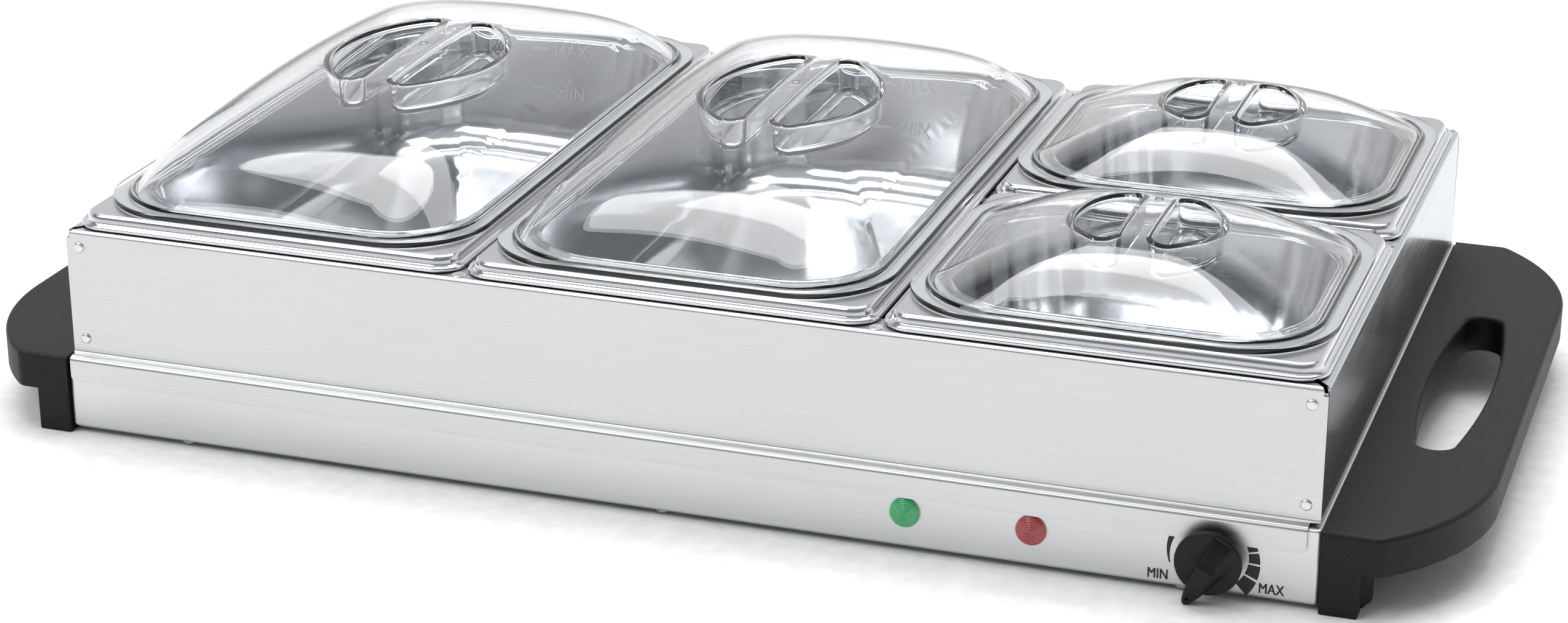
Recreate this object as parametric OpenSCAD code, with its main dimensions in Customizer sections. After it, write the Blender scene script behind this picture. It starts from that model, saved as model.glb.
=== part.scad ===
// Electric buffet server: a warming base with a thermostat, a lift-off frame
// that carries two large and two small food pans, and a clear lid on each pan.
// X runs along the width, the control panel faces -Y, Z is up, and Z = 0 is the
// surface that the server stands on. All sizes are in millimetres.

/* [Base] */
// Width of the warming base, without its handles
base_w = 533; // [400:1:700]
// Depth of the warming base
base_d = 330; // [260:1:440]
// Height of the base walls
base_h = 31.2; // [28:0.1:60]
// Gap under the base walls
base_lift = 2.8; // [2.2:0.1:12]
// Sheet thickness of the base
base_t = 0.6; // [0.4:0.1:1.5]
// Width of the inward lip under the base walls
base_lip = 10; // [8:1:20]

/* [Frame] */
// How far the frame's sides stand in from the base's sides
frame_inset_x = 1.5; // [0.5:0.1:10]
// How far the frame's front and back stand in from those of the base
frame_inset_y = 4; // [2.5:0.1:15]
// Height of the frame above the base
frame_h = 56; // [40:1:110]
// Sheet thickness of the frame
frame_t = 0.8; // [0.5:0.1:1.5]
// Width of the inward flange on the front and back panels
flange_w = 14; // [10:1:20]
// Width of the inward flange on the side panels
side_flange_w = 9; // [6:1:12]
// Inside radius of the sheet bends
bend_r = 1.5; // [0.5:0.1:3]
// How far the skirt overlaps the base
skirt_h = 10; // [5:0.1:14]
// Width of the bars between the pans
bar_w = 16; // [10:1:20]
// Depth of the bars' turned-down edges
bar_edge = 6; // [3:1:12]
// Width of the tabs that the side panels tuck behind the front and back
tab_w = 14; // [10:1:25]

/* [Pans] */
// Gap between neighbouring pan rims
rim_gap = 1.5; // [1:0.1:4]
// Margin from the frame's edge to the rims, across the width
rim_margin_x = 1.75; // [1:0.05:6]
// Margin from the frame's edge to the rims, across the depth
rim_margin_y = 2; // [1:0.1:6]
// Height of the rolled edge of a rim
rim_h = 3; // [2:0.1:5]
// Width of the rolled edge of a rim
rim_w = 2.8; // [2:0.1:5]
// Height of the raised flat above the rolled edge
step_h = 3; // [1:0.1:6]
// Corner radius of a rim
rim_r = 12; // [6:1:20]
// Width from the rim's edge to the opening, at the sides
land_x = 12.5; // [9:0.5:20]
// Width from the rim's edge to the opening, at the front and back
land_y = 19; // [14:0.5:30]
// Corner radius of the opening
opening_r = 36; // [20:1:50]
// How far each wall leans inwards from the opening to the floor
draft = 6; // [2:1:15]
// Sheet thickness of a pan
pan_t = 0.7; // [0.5:0.1:1.2]
// Gap between the pans and the warming plate
pan_gap = 4.5; // [2:0.5:15]

/* [Lids] */
// Wall thickness of a lid
lid_t = 2; // [1.2:0.1:3]
// Margin from the rim's edge to the lid's edge, at the sides
lid_margin_x = 2.5; // [1:0.5:8]
// Margin from the rim's edge to the lid's edge, at the front and back
lid_margin_y = 4; // [2:0.5:10]
// Width of the flat flange around the dome
lid_flange = 7.5; // [5:0.5:12]
// Corner radius of a lid
lid_r = 38; // [20:1:50]
// Height of a large lid
large_lid_h = 35.5; // [20:0.5:60]
// Height of a small lid
small_lid_h = 24.5; // [18:0.5:50]
// Width of the finger grip of a large lid
large_grip_w = 75; // [50:1:90]
// Length of the finger grip of a large lid, front to back
large_grip_l = 112; // [60:1:130]
// Width of the finger grip of a small lid
small_grip_w = 60; // [40:1:70]
// Length of the finger grip of a small lid, front to back
small_grip_l = 64; // [40:1:80]
// Width of the bar between the finger pockets
grip_bar = 13; // [8:1:20]
// Depth of the finger pockets below the top of the dome
pocket_depth = 16; // [8:1:20]

/* [Handles] */
// Reach of a handle beyond the base
handle_reach = 56.5; // [40:0.5:90]
// How far a handle runs past the front and the back of the base
handle_over = 1.5; // [0:0.5:10]
// Thickness of a handle's grip plate
handle_h = 16; // [12:1:26]
// Radius of the handle's big outer corners
handle_r = 95; // [50:1:130]
// Rounding of the handle's remaining corners
handle_round = 6; // [2:1:15]
// Length of the finger slot
slot_len = 150; // [100:1:200]
// Width of the finger slot at its middle
slot_w = 26.5; // [22:0.5:34]
// Width of the finger slot at its ends
slot_end_w = 16; // [12:0.5:20]
// Width of the corner legs
leg_w = 15; // [10:1:25]
// Depth of the corner legs
leg_d = 8; // [6:1:20]
// Radius of the round bosses behind the legs
boss_r = 7.5; // [6:0.5:10]

/* [Controls] */
// Distance from the right-hand edge of the base to the knob
knob_inset = 41.5; // [36:0.5:60]
// Distance from the knob to the nearest lamp
knob_to_lamp = 71; // [60:1:90]
// Distance between the lamps
lamp_pitch = 51; // [25:1:80]
// Diameter of a lamp lens
lens_d = 12.4; // [10.4:0.2:14]
// Diameter of the knob's disc
knob_d = 26; // [20:1:34]
// Diameter of the thermostat shaft
shaft_d = 6; // [4:0.5:7]

/* [Hidden] */
$fn = 48;

// Clearances
rest_gap = 0.3;      // between parts that lift off each other
run_gap = 0.05;      // radial, around a turning shaft or a rivet
skirt_gap = 0.5;     // between the skirt and the base
side_gap = 0.1;      // between stacked sheets of one assembly
cut = 1;             // how far a cutting shape runs past a face

// Heights
base_top = base_lift + base_h;
frame_bottom = base_top + rest_gap;
frame_top = base_top + frame_h;
rim_z = frame_top + rest_gap;
flat_z = rim_z + rim_h + step_h;
lid_z = flat_z + rest_gap;
pan_bottom = base_top + pan_gap;
control_z = base_top - skirt_h - rest_gap - lens_d / 2;

// Outlines of the base and the frame
base_x = base_w / 2;
base_y = base_d / 2;
frame_w = base_w - 2 * frame_inset_x;
frame_d = base_d - 2 * frame_inset_y;
frame_x = frame_w / 2;
frame_y = frame_d / 2;
skirt_y = base_y + skirt_gap + frame_t;

// Pans: three equal columns, and the last one is split in two
columns = 3;
rim_width = (frame_w - 2 * rim_margin_x - (columns - 1) * rim_gap) / columns;
rim_depth = frame_d - 2 * rim_margin_y;
half_depth = (rim_depth - rim_gap) / 2;
pitch_x = rim_width + rim_gap;
pitch_y = (half_depth + rim_gap) / 2;

// Bars and rivets of the frame
bar_x = pitch_x / 2;
bar_z = frame_top - frame_t - side_gap;
bar_end = 1.5;
rivet_r = 1.5;
rivet_head_r = 2.3;
rivet_head_h = 0.9;
flange_rivet_r = 3;
rivet_side = 5.9;
rivet_top = 7.2;
rivet_low = frame_h - 8;
corner_gap = 1.2;
flange_rivet_y = frame_y - 4.2;
short_rivet_x = frame_x - 5;
skirt_trim = 2;

// Lids
ridge_h = 1.2;
ridge_w = 1.6;
locator_h = 2;
locator_gap = 1.2;

// Control panel. The pointer's tip just clears the surface in the off position.
knob_x = base_x - knob_inset;
lamp_x = knob_x - knob_to_lamp - lamp_pitch;
off_angle = 25;      // of the pointer, from straight down
tip_r = 1.6;
tip_clear = 0.3;
pointer_len = (control_z - tip_clear - tip_r) / cos(off_angle) + tip_r;
grip_w = 9;
knob_gap = 4;
knob_disc_h = 4.5;
knob_ridge_h = 6;
hub_r = 4.6;
hub_gap = 1;
flat_cut = 0.8;
panel_y = -base_y;
lamp_body_r = 5;
lens_h = 1.8;
lens_bevel = 0.6;
lens_tail = 5;
lamp_len = 15;
pin_len = 4;
pin_r = 0.7;
pin_x = 2.5;
thermostat = [26, 22, 20];
thermostat_y = panel_y + base_t + 3;
shaft_tip_y = panel_y - knob_gap - knob_disc_h + 1;
shaft_tail_y = thermostat_y + 16;

// Inside the base
element_r = 3;
element_runs = 6;
clip_t = 0.9;
clip_foot = 6;
element_margin = 29;
element_x = base_x - 60;
element_lead = 12;
element_z = base_top - base_t - side_gap - element_r;
clip_len = 10;
reflector_z = element_z - element_r - 1.2;
reflector_t = 0.8;
pad_t = 8;
pad_inset = 4;
pad_z = reflector_z - reflector_t - side_gap - pad_t;
post_r = 4;
plate_x = base_x - 32;
plate_front = base_y - 34;
plate_back = base_y - 28;
element_pitch = (plate_front + plate_back - 2 * element_margin) / (element_runs - 1);
cover_t = 0.6;
cover_z = base_lift - 0.05 - cover_t;
cover_inset = 2;
vent = [5, 40];
vent_pitch = 14;
screw_r = 1.6;
screw_head_r = 3.2;
screw_head_h = 1.4;
cord_x = base_x - 40;
gland_r = 5.5;
gland_bore = 3.6;
gland_lip = 2;
cord_z = base_top - skirt_h - rest_gap - gland_r - gland_lip;
gland_len = knob_gap + knob_disc_h + knob_ridge_h;
gland_tail = 5;
gland_flange = 2.5;
fuse_x = knob_x - 39;
fuse_y = -base_y + 20;
fuse_z = 14;
fuse_r = 2.2;
fuse_half = 8;
fuse_wire = 6;
terminal = [30, 14, 13];
terminal_pitch = 10;
terminal_y = base_y - 24;
lead_r = 1.1;
bracket = [40, 20, 16];
bracket_t = 1;

// Handles
handle_len = base_d + 2 * handle_over;
handle_x0 = base_x + side_gap;
handle_top = base_top + 0.5;
handle_rib = 4;
rib_z = base_lift + 1.5;
handle_screw_ys = [-base_y * 0.55, 0, base_y * 0.55];
handle_screw_z = base_lift + 8;
slot_x = handle_x0 + handle_reach * 0.475;
foot_r = 5;
foot_h = 2.5;
stem_r = 2.6;
stem_h = 5;
boss_x = handle_x0 + handle_rib + boss_r - 0.5;
boss_y = handle_len / 2 - leg_d - boss_r + 2;

// Colours
steel = "silver";
bright = "gainsboro";
black = [0.16, 0.16, 0.17];
clear = [0.85, 0.92, 0.96, 0.45];
brass = [0.8, 0.65, 0.3];

// Names of the feet, the pans and the lids, in the order of their places
CORNERS = ["front_left", "front_right", "back_left", "back_right"];
PLACES = ["left", "middle", "right_back", "right_front"];

// ---------------------------------------------------------------- outlines

// Rectangle with round corners, centred
module round_rect(w, d, r) {
    square([w - 2 * r, d], center = true);
    square([w, d - 2 * r], center = true);
    for (x = [-1, 1], y = [-1, 1])
        translate([x * (w / 2 - r), y * (d / 2 - r)]) circle(r);
}

// Points of a bend of radius r at the corner b, between the legs to a and to c
function unit(v) = v / norm(v);
function bend(a, b, c, r, n = 6) =
    let (u = unit(a - b), v = unit(c - b), half = acos(u * v) / 2)
    let (run = r / tan(half), mid = b + unit(u + v) * r / sin(half))
    let (p = b + u * run - mid, q = b + v * run - mid, turn = 180 - 2 * half)
    [for (i = [0 : n])
        mid + (sin(turn * (1 - i / n)) * p + sin(turn * i / n) * q) / sin(turn)];

// A path whose inner corners are bent
function bent(path, r) = concat(
    [path[0]],
    [for (i = [1 : len(path) - 2]) each bend(path[i - 1], path[i], path[i + 1], r)],
    [path[len(path) - 1]]);

// One side of a path, moved sideways by s
function side(path, s) =
    [for (i = [0 : len(path) - 1])
        let (a = path[max(i - 1, 0)], b = path[min(i + 1, len(path) - 1)])
        let (d = unit(b - a))
        path[i] + [-d.y, d.x] * s];

// Cross-section of a bent sheet that follows a path along its middle
module sheet_section(path, t, r) {
    mid = bent(path, r + t / 2);
    left = side(mid, t / 2);
    right = side(mid, -t / 2);
    polygon(concat(left, [for (i = [len(right) - 1 : -1 : 0]) right[i]]));
}

// Extrudes a section drawn in (y, z) along X, and one drawn in (x, z) along Y
module along_x(length) {
    rotate([90, 0, 90]) linear_extrude(length, center = true) children();
}
module along_y(length) {
    rotate([90, 0, 0]) linear_extrude(length, center = true) children();
}

// Rod of radius r between two points
module rod(a, b, r) {
    v = b - a;
    turn = atan2(v.y, v.x);
    lean = acos(v.z / norm(v));
    translate(a) rotate([0, lean, turn]) cylinder(h = norm(v), r = r);
}

// Place of each pan: column, row and whether it is a large one
function is_large(i) = i < 2;
function pan_depth(i) = is_large(i) ? rim_depth : half_depth;
function pan_place(i) = [
    is_large(i) ? (i - 1) * pitch_x : pitch_x,
    is_large(i) ? 0 : (i == 2 ? pitch_y : -pitch_y), 0];

// Place of each foot
function foot_place(i) = [
    (i % 2 == 0 ? -1 : 1) * boss_x,
    (i < 2 ? -1 : 1) * boss_y, 0];

// ---------------------------------------------------------------- base

module base_shell() color(steel) difference() {
    translate([-base_x, -base_y, base_lift]) cube([base_w, base_d, base_h]);
    translate([-base_x + base_t, -base_y + base_t, base_lift + base_t])
        cube([base_w - 2 * base_t, base_d - 2 * base_t, base_h - 2 * base_t]);
    translate([-base_x + base_lip, -base_y + base_lip, base_lift - cut])
        cube([base_w - 2 * base_lip, base_d - 2 * base_lip, base_t + 2 * cut]);
    for (x = [lamp_x, lamp_x + lamp_pitch]) panel_hole(x, lamp_body_r + side_gap);
    panel_hole(knob_x, shaft_d / 2 + 1);
    translate([cord_x, base_y + cut, cord_z]) rotate([90, 0, 0])
        cylinder(h = base_t + 2 * cut, r = gland_r + run_gap);
    for (s = [-1, 1], y = handle_screw_ys)
        translate([s * (base_x - base_t / 2), y, handle_screw_z]) rotate([0, 90, 0])
            cylinder(h = base_t + 2 * cut, r = screw_r + run_gap, center = true);
    cover_screw_places() cylinder(h = 4 * cut, r = screw_r + run_gap, center = true);
}

// Round hole through the control panel
module panel_hole(x, r) {
    translate([x, panel_y + base_t + cut, control_z]) rotate([90, 0, 0])
        cylinder(h = base_t + 2 * cut, r = r);
}

// Places of the screws that hold the bottom cover to the lips
module cover_screw_places() {
    for (x = [-0.8, 0, 0.8], s = [-1, 1])
        translate([x * base_x, s * (base_y - base_lip / 2), base_lift]) children();
}

module bottom_cover() color(steel) difference() {
    translate([-base_x + cover_inset, -base_y + cover_inset, cover_z])
        cube([base_w - 2 * cover_inset, base_d - 2 * cover_inset, cover_t]);
    cover_screw_places() cylinder(h = 6 * cut, r = screw_r + run_gap, center = true);
    for (i = [-4 : 4], s = [-1, 1])
        translate([i * vent_pitch, s * base_y * 0.42, cover_z - cut])
            linear_extrude(cover_t + 2 * cut) round_rect(vent.x, vent.y, vent.x * 0.48);
}

// Pan-head screw with its head at the bottom, its neck at z = 0
module screw(length) {
    translate([0, 0, -screw_head_h]) cylinder(h = screw_head_h, r = screw_head_r);
    cylinder(h = length, r = screw_r);
}

module cover_screws() color(steel)
    translate([0, 0, cover_z - base_lift]) cover_screw_places() screw(4);

// ---------------------------------------------------------------- handles

// Outline of a handle seen from above, its inner edge on x = 0
module handle_outline() {
    corner_y = handle_len / 2 - handle_r * sin(50);
    offset(r = handle_round) offset(delta = -handle_round) difference() {
        translate([-handle_round * 3, -handle_len / 2])
            square([handle_reach + handle_round * 3, handle_len]);
        for (s = [-1, 1]) difference() {
            translate([handle_reach - handle_r, s > 0 ? corner_y : -corner_y - handle_r])
                square([handle_r + cut, handle_r]);
            translate([handle_reach - handle_r, s * corner_y]) circle(handle_r, $fn = 128);
        }
    }
}

// Outline of the finger slot: bowed long sides and round ends
module slot_outline() {
    end_r = slot_end_w / 2;
    half_chord = slot_len / 2 - end_r;
    sag = (slot_w - slot_end_w) / 2 + 0.4; // the bow meets the end circle at an angle
    bow_r = (half_chord * half_chord + sag * sag) / (2 * sag);
    for (s = [-1, 1]) {
        translate([0, s * half_chord]) circle(end_r);
        intersection() {
            translate([s * (slot_w / 2 - bow_r), 0]) circle(bow_r, $fn = 256);
            translate([s > 0 ? 0 : -slot_w / 2, -half_chord])
                square([slot_w / 2, 2 * half_chord]);
        }
    }
}

// Right-hand handle
module handle_shape() difference() {
    union() {
        translate([handle_x0, 0, handle_top - handle_h]) linear_extrude(handle_h)
            intersection() {
                handle_outline();
                translate([0, -handle_len]) square([handle_reach + cut, 2 * handle_len]);
            }
        for (s = [-1, 1]) {
            translate([handle_x0, s > 0 ? handle_len / 2 - leg_d : -handle_len / 2, 0])
                cube([leg_w, leg_d, handle_top - handle_h + cut]);
            translate([boss_x, s * boss_y, foot_h]) cylinder(h = handle_top - handle_h, r = boss_r);
        }
        translate([handle_x0, -handle_len / 2 + leg_d / 2, rib_z])
            cube([handle_rib, handle_len - leg_d, handle_top - handle_h - rib_z + cut]);
        for (y = handle_screw_ys)
            translate([handle_x0, y, handle_screw_z]) rotate([0, 90, 0])
                cylinder(h = 12, r = screw_r + 2.4);
    }
    translate([slot_x, 0, handle_top - handle_h - cut]) linear_extrude(handle_h + 2 * cut)
        slot_outline();
    for (y = handle_screw_ys)
        translate([handle_x0 - cut, y, handle_screw_z]) rotate([0, 90, 0])
            cylinder(h = 10 + cut, r = screw_r + run_gap);
    for (s = [-1, 1])
        translate([boss_x, s * boss_y, 0]) cylinder(h = foot_h + stem_h + 1, r = stem_r + run_gap);
}

module handle_right() color(black) handle_shape();
module handle_left() color(black) mirror([1, 0, 0]) handle_shape();

module handle_screws() color(steel)
    for (s = [0, 1], y = handle_screw_ys) mirror([s, 0, 0])
        translate([base_x - base_t, y, handle_screw_z]) rotate([0, 90, 0]) screw(9);

module foot(i) color("dimgray") translate(foot_place(i)) {
    cylinder(h = foot_h, r = foot_r);
    cylinder(h = foot_h + stem_h, r = stem_r);
}

// ---------------------------------------------------------------- lamps

module lens(x, tint) color(tint) translate([x, panel_y, control_z]) rotate([90, 0, 0]) {
    cylinder(h = lens_h - lens_bevel, r = lens_d / 2);
    translate([0, 0, lens_h - lens_bevel])
        cylinder(h = lens_bevel, r1 = lens_d / 2, r2 = lens_d / 2 - 2 * lens_bevel);
    mirror([0, 0, 1]) cylinder(h = lens_tail, r = lamp_body_r);
}

module lamp(x) color("ivory") translate([x, panel_y + lens_tail + side_gap, control_z])
    rotate([-90, 0, 0]) {
        cylinder(h = lamp_len, r = lamp_body_r);
        for (s = [-1, 1]) translate([s * pin_x, 0, lamp_len]) cylinder(h = pin_len, r = pin_r);
    }

// ---------------------------------------------------------------- heating

// Middle line of the element: straight runs and half-round turns
function run_y(i) = (i - (element_runs - 1) / 2) * element_pitch;

module heating_element() color("slategray") translate([0, 0, element_z]) {
    for (i = [0 : element_runs - 1])
        rod([-element_x, run_y(i), 0], [element_x, run_y(i), 0], element_r);
    for (i = [0 : element_runs - 2])
        translate([(i % 2 == 0 ? 1 : -1) * element_x, (run_y(i) + run_y(i + 1)) / 2, 0])
            rotate([0, 0, i % 2 == 0 ? -90 : 90])
                rotate_extrude(angle = 180) translate([element_pitch / 2, 0]) circle(element_r);
    for (i = [0, element_runs - 1])
        rod([-element_x - element_lead, run_y(i), 0], [-element_x, run_y(i), 0], element_r / 2);
}

// Clips that hold the element against the plate: a half-round strap with two feet
module element_clips() color(steel)
    for (x = [-0.6, 0, 0.6], i = [0 : element_runs - 1])
        translate([x * element_x, run_y(i), element_z]) along_x(clip_len) {
            difference() {
                circle(element_r + clip_t);
                circle(element_r + side_gap);
                translate([-2 * element_r, 0]) square(4 * element_r);
            }
            for (s = [0, 1]) mirror([s, 0]) {
                translate([element_r + side_gap, 0])
                    square([clip_t - side_gap, element_r - side_gap]);
                translate([element_r + side_gap, element_r - clip_t - side_gap])
                    square([clip_foot, clip_t]);
            }
        }

module heat_reflector() color("lightgray")
    translate([-plate_x, -plate_front, reflector_z - reflector_t])
        cube([2 * plate_x, plate_front + plate_back, reflector_t]);

module insulation_pad() color("khaki")
    translate([-plate_x + pad_inset, -plate_front + pad_inset, pad_z])
        cube([2 * (plate_x - pad_inset), plate_front + plate_back - 2 * pad_inset, pad_t]);

// Posts between the bottom cover and the pad
module pad_posts() color(steel)
    for (x = [-0.6, 0, 0.6], y = [-0.7, 0.7])
        translate([x * plate_x, y * plate_front, cover_z + cover_t + run_gap])
            cylinder(h = pad_z - side_gap - cover_z - cover_t - run_gap, r = post_r);

// ---------------------------------------------------------------- thermostat

module thermostat_body() color("ivory") difference() {
    translate([knob_x, thermostat_y, control_z]) union() {
        translate([-thermostat.x / 2, 2, -thermostat.z / 2 + 1]) cube(thermostat - [0, 2, 0]);
        rotate([-90, 0, 0]) cylinder(h = 3, r = 5);
    }
    shaft_bore(run_gap);
}

// Space of the shaft, wider all round by the gap
module shaft_bore(gap) {
    translate([knob_x, shaft_tail_y + side_gap, control_z]) rotate([90, 0, 0])
        cylinder(h = shaft_tail_y + side_gap - thermostat_y + cut, r = shaft_d / 2 + gap);
}

module thermostat_bracket() color(steel) difference() {
    union() {
        translate([knob_x - bracket.x / 2, panel_y + base_t + side_gap,
            base_lift + base_t + side_gap])
            cube([bracket.x, bracket_t, base_h - 2 * base_t - 2 * side_gap]);
        for (s = [-1, 1])
            translate([knob_x + s * (thermostat.x + 2 * side_gap + bracket_t) / 2 - bracket_t / 2,
                panel_y + base_t + side_gap, control_z - bracket.z / 2])
                cube([bracket_t, bracket.y, bracket.z]);
    }
    translate([knob_x, 0, control_z]) rotate([90, 0, 0])
        cylinder(h = base_d, r = shaft_d / 2 + 1);
}

module thermal_fuse() color("white") translate([fuse_x, fuse_y, fuse_z]) {
    rod([-fuse_half, 0, 0], [fuse_half, 0, 0], fuse_r);
    rod([-fuse_half - fuse_wire, 0, 0], [fuse_half + fuse_wire, 0, 0], 0.6);
}

module terminal_block() color("ivory") difference() {
    translate([cord_x - 4 * terminal_pitch, terminal_y, base_lift + side_gap]) cube(terminal);
    for (i = [0 : 2])
        translate([cord_x - (3.5 - i) * terminal_pitch, terminal_y + terminal.y / 2, base_lift + 11])
            cylinder(h = terminal.z, r = 2);
}

// Insulated lead: straight stretches with a ball, slightly fuller, at each bend
module lead(points) {
    $fn = 12;
    for (i = [0 : len(points) - 2]) rod(points[i], points[i + 1], lead_r);
    for (i = [1 : len(points) - 2]) translate(points[i]) sphere(lead_r + 0.1);
}

module internal_leads() color("firebrick") {
    low = base_lift + base_t + 2.5;
    block_y = terminal_y - side_gap - lead_r;
    front = -base_y + 30;
    // mains lead from the gland to the terminals
    lead([[cord_x, base_y - 9, cord_z], [cord_x, base_y - 14, low + 8],
        [cord_x - 8.5, terminal_y + terminal.y / 2, low + 4]]);
    // terminals to the thermostat
    lead([[cord_x - 16, block_y, low + 3], [cord_x - 16, 0, low], [knob_x - 4, front, low + 4],
        [knob_x - 4, thermostat_y + thermostat.y + 1.2, control_z - 2]]);
    // thermostat to the thermal fuse
    lead([[knob_x - 10, thermostat_y + thermostat.y + 1.2, control_z - 2],
        [knob_x - 14, front, low + 6], [fuse_x + 20, fuse_y + 6, fuse_z],
        [fuse_x + fuse_half + fuse_wire + lead_r, fuse_y, fuse_z]]);
    // terminals to the lamps, and from one lamp to the other
    lamp_end = panel_y + lens_tail + lamp_len + pin_len + 1;
    lamp_2 = lamp_x + lamp_pitch;
    lead([[cord_x - 25, block_y, low + 3], [cord_x - 34, 0, low], [lamp_2 - 10, front + 8, low],
        [lamp_2 + pin_x, front, low + 6], [lamp_2 + pin_x, lamp_end, control_z]]);
    lead([[lamp_2 - pin_x, lamp_end, control_z], [lamp_2 - 6, front - 2, control_z],
        [lamp_x + 6, front - 2, control_z], [lamp_x + pin_x, lamp_end, control_z]]);
    // terminals to the element
    far_x = -plate_x - 8;
    lead([[cord_x - 34, block_y, low + 3], [cord_x - 70, 60, low], [far_x, 60, low],
        [far_x, run_y(element_runs - 1), element_z],
        [-element_x - element_lead - lead_r - side_gap, run_y(element_runs - 1), element_z]]);
}

module earth_terminal() color(brass)
    translate([cord_x - 60, base_y - base_t - side_gap, 14]) rotate([90, 0, 0]) {
        cylinder(h = 1, r = 4);
        cylinder(h = 7, r = 2);
        translate([0, 0, 3]) cylinder(h = 2.4, r = 3.6, $fn = 6);
    }

module cord_gland() color(black) translate([cord_x, base_y, cord_z]) rotate([-90, 0, 0])
    difference() {
        union() {
            translate([0, 0, -base_t - gland_tail]) cylinder(h = gland_tail + base_t, r = gland_r);
            cylinder(h = gland_flange, r = gland_r + gland_lip);
            translate([0, 0, gland_flange])
                cylinder(h = gland_len - gland_flange, r1 = gland_r, r2 = gland_r - 1);
        }
        translate([0, 0, -base_t - gland_tail - cut])
            cylinder(h = gland_len + base_t + gland_tail + 2 * cut, r = gland_bore);
    }

// ---------------------------------------------------------------- knob

// Puts children on the knob's axis: +Z of the child points out of the panel, and
// its -Y points where the pointer stands when the server is off
module knob_frame(y) {
    translate([knob_x, y, control_z]) rotate([90, 0, 0]) rotate([0, 0, -off_angle]) children();
}

// Shaft with one flat along the part that holds the knob
module thermostat_shaft() color(steel) difference() {
    knob_frame(shaft_tail_y) cylinder(h = shaft_tail_y - shaft_tip_y, r = shaft_d / 2);
    knob_frame(panel_y - hub_gap) translate([-shaft_d, shaft_d / 2 - flat_cut, 0])
        cube([2 * shaft_d, shaft_d, knob_gap + knob_disc_h]);
}

module knob() color(black) difference() {
    knob_frame(panel_y - knob_gap) {
        cylinder(h = knob_disc_h - 0.8, r = knob_d / 2);
        translate([0, 0, knob_disc_h - 0.8]) cylinder(h = 0.8, r1 = knob_d / 2, r2 = knob_d / 2 - 0.8);
        translate([0, 0, hub_gap - knob_gap]) cylinder(h = knob_gap, r = hub_r);
        linear_extrude(knob_disc_h + knob_ridge_h) pointer_outline();
    }
    knob_frame(panel_y) translate([0, 0, -cut]) difference() {
        cylinder(h = panel_y - shaft_tip_y + side_gap + cut, r = shaft_d / 2 + run_gap);
        translate([-shaft_d, shaft_d / 2 - flat_cut + run_gap, 0])
            cube([2 * shaft_d, shaft_d, 2 * (knob_gap + knob_disc_h)]);
    }
    knob_frame(panel_y - hub_gap) difference() {
        cylinder(h = 1.8, r = hub_r - 0.5 + run_gap, center = true);
        cylinder(h = 3, r = shaft_d / 2 + 0.5, center = true);
    }
}

// Wedge of the pointer, from the wide grip end to the tip beyond the disc
module pointer_outline() hull() {
    translate([0, tip_r - pointer_len]) circle(tip_r);
    translate([-grip_w / 2, 0]) square([grip_w, knob_d / 2 - 2]);
}

// Split ring that keeps the hub tight on the shaft
module knob_clip() color("goldenrod") knob_frame(panel_y - hub_gap) difference() {
    cylinder(h = 0.8, r = hub_r - 0.5);
    translate([0, 0, -cut]) cylinder(h = 3, r = shaft_d / 2 + 0.5 + run_gap);
    translate([-0.7, -hub_r - cut, -cut]) cube([1.4, hub_r, 3]);
}

// ---------------------------------------------------------------- frame

// Front panel in (y, z): flange, face, ledge on the base, and skirt
module frame_front_panel() difference() {
    along_x(frame_w) sheet_section([
        [-frame_y + flange_w, frame_top - frame_t / 2],
        [-frame_y + frame_t / 2, frame_top - frame_t / 2],
        [-frame_y + frame_t / 2, frame_bottom + frame_t / 2],
        [-skirt_y + frame_t / 2, frame_bottom + frame_t / 2],
        [-skirt_y + frame_t / 2, base_top - skirt_h]], frame_t, min(bend_r, 1));
    // mitred flange ends
    for (s = [-1, 1]) translate([s * frame_x, -frame_y, frame_top - 3 * frame_t])
        rotate([0, 0, s > 0 ? 135 : 45]) translate([0, -corner_gap / 2, 0])
            translate([-2 * cut, s > 0 ? -flange_w * 2 : -corner_gap / 2, 0])
                cube([flange_w * 3, flange_w * 2 + corner_gap, 4 * frame_t]);
    // the skirt stops short of the side edge
    for (s = [-1, 1]) translate([s * frame_x - (s > 0 ? skirt_trim : cut), -skirt_y - cut,
            base_top - skirt_h - cut])
        cube([skirt_trim + cut, frame_t + skirt_gap + 1.2, skirt_h + frame_t + 2 * cut]);
    corner_rivet_places(-1) cylinder(h = 20, r = rivet_r + run_gap, center = true);
    bar_rivet_places(-1) cylinder(h = 20, r = rivet_r + run_gap, center = true);
}

module frame_front() color(steel) frame_front_panel();
module frame_back() color(steel) mirror([0, 1, 0]) frame_front_panel();

// Axes of the rivets through the front (s = -1) or the back panel
module corner_rivet_places(s) {
    for (x = [-1, 1], z = [rivet_top, rivet_low])
        translate([x * (frame_x - rivet_side), s * frame_y, frame_top - z])
            rotate([s < 0 ? 90 : -90, 0, 0]) children();
}

// Axes of the rivets through the flange and the long bars
module bar_rivet_places(s) {
    for (x = [-bar_x, bar_x])
        translate([x, s * flange_rivet_y, frame_top]) children();
}

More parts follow.
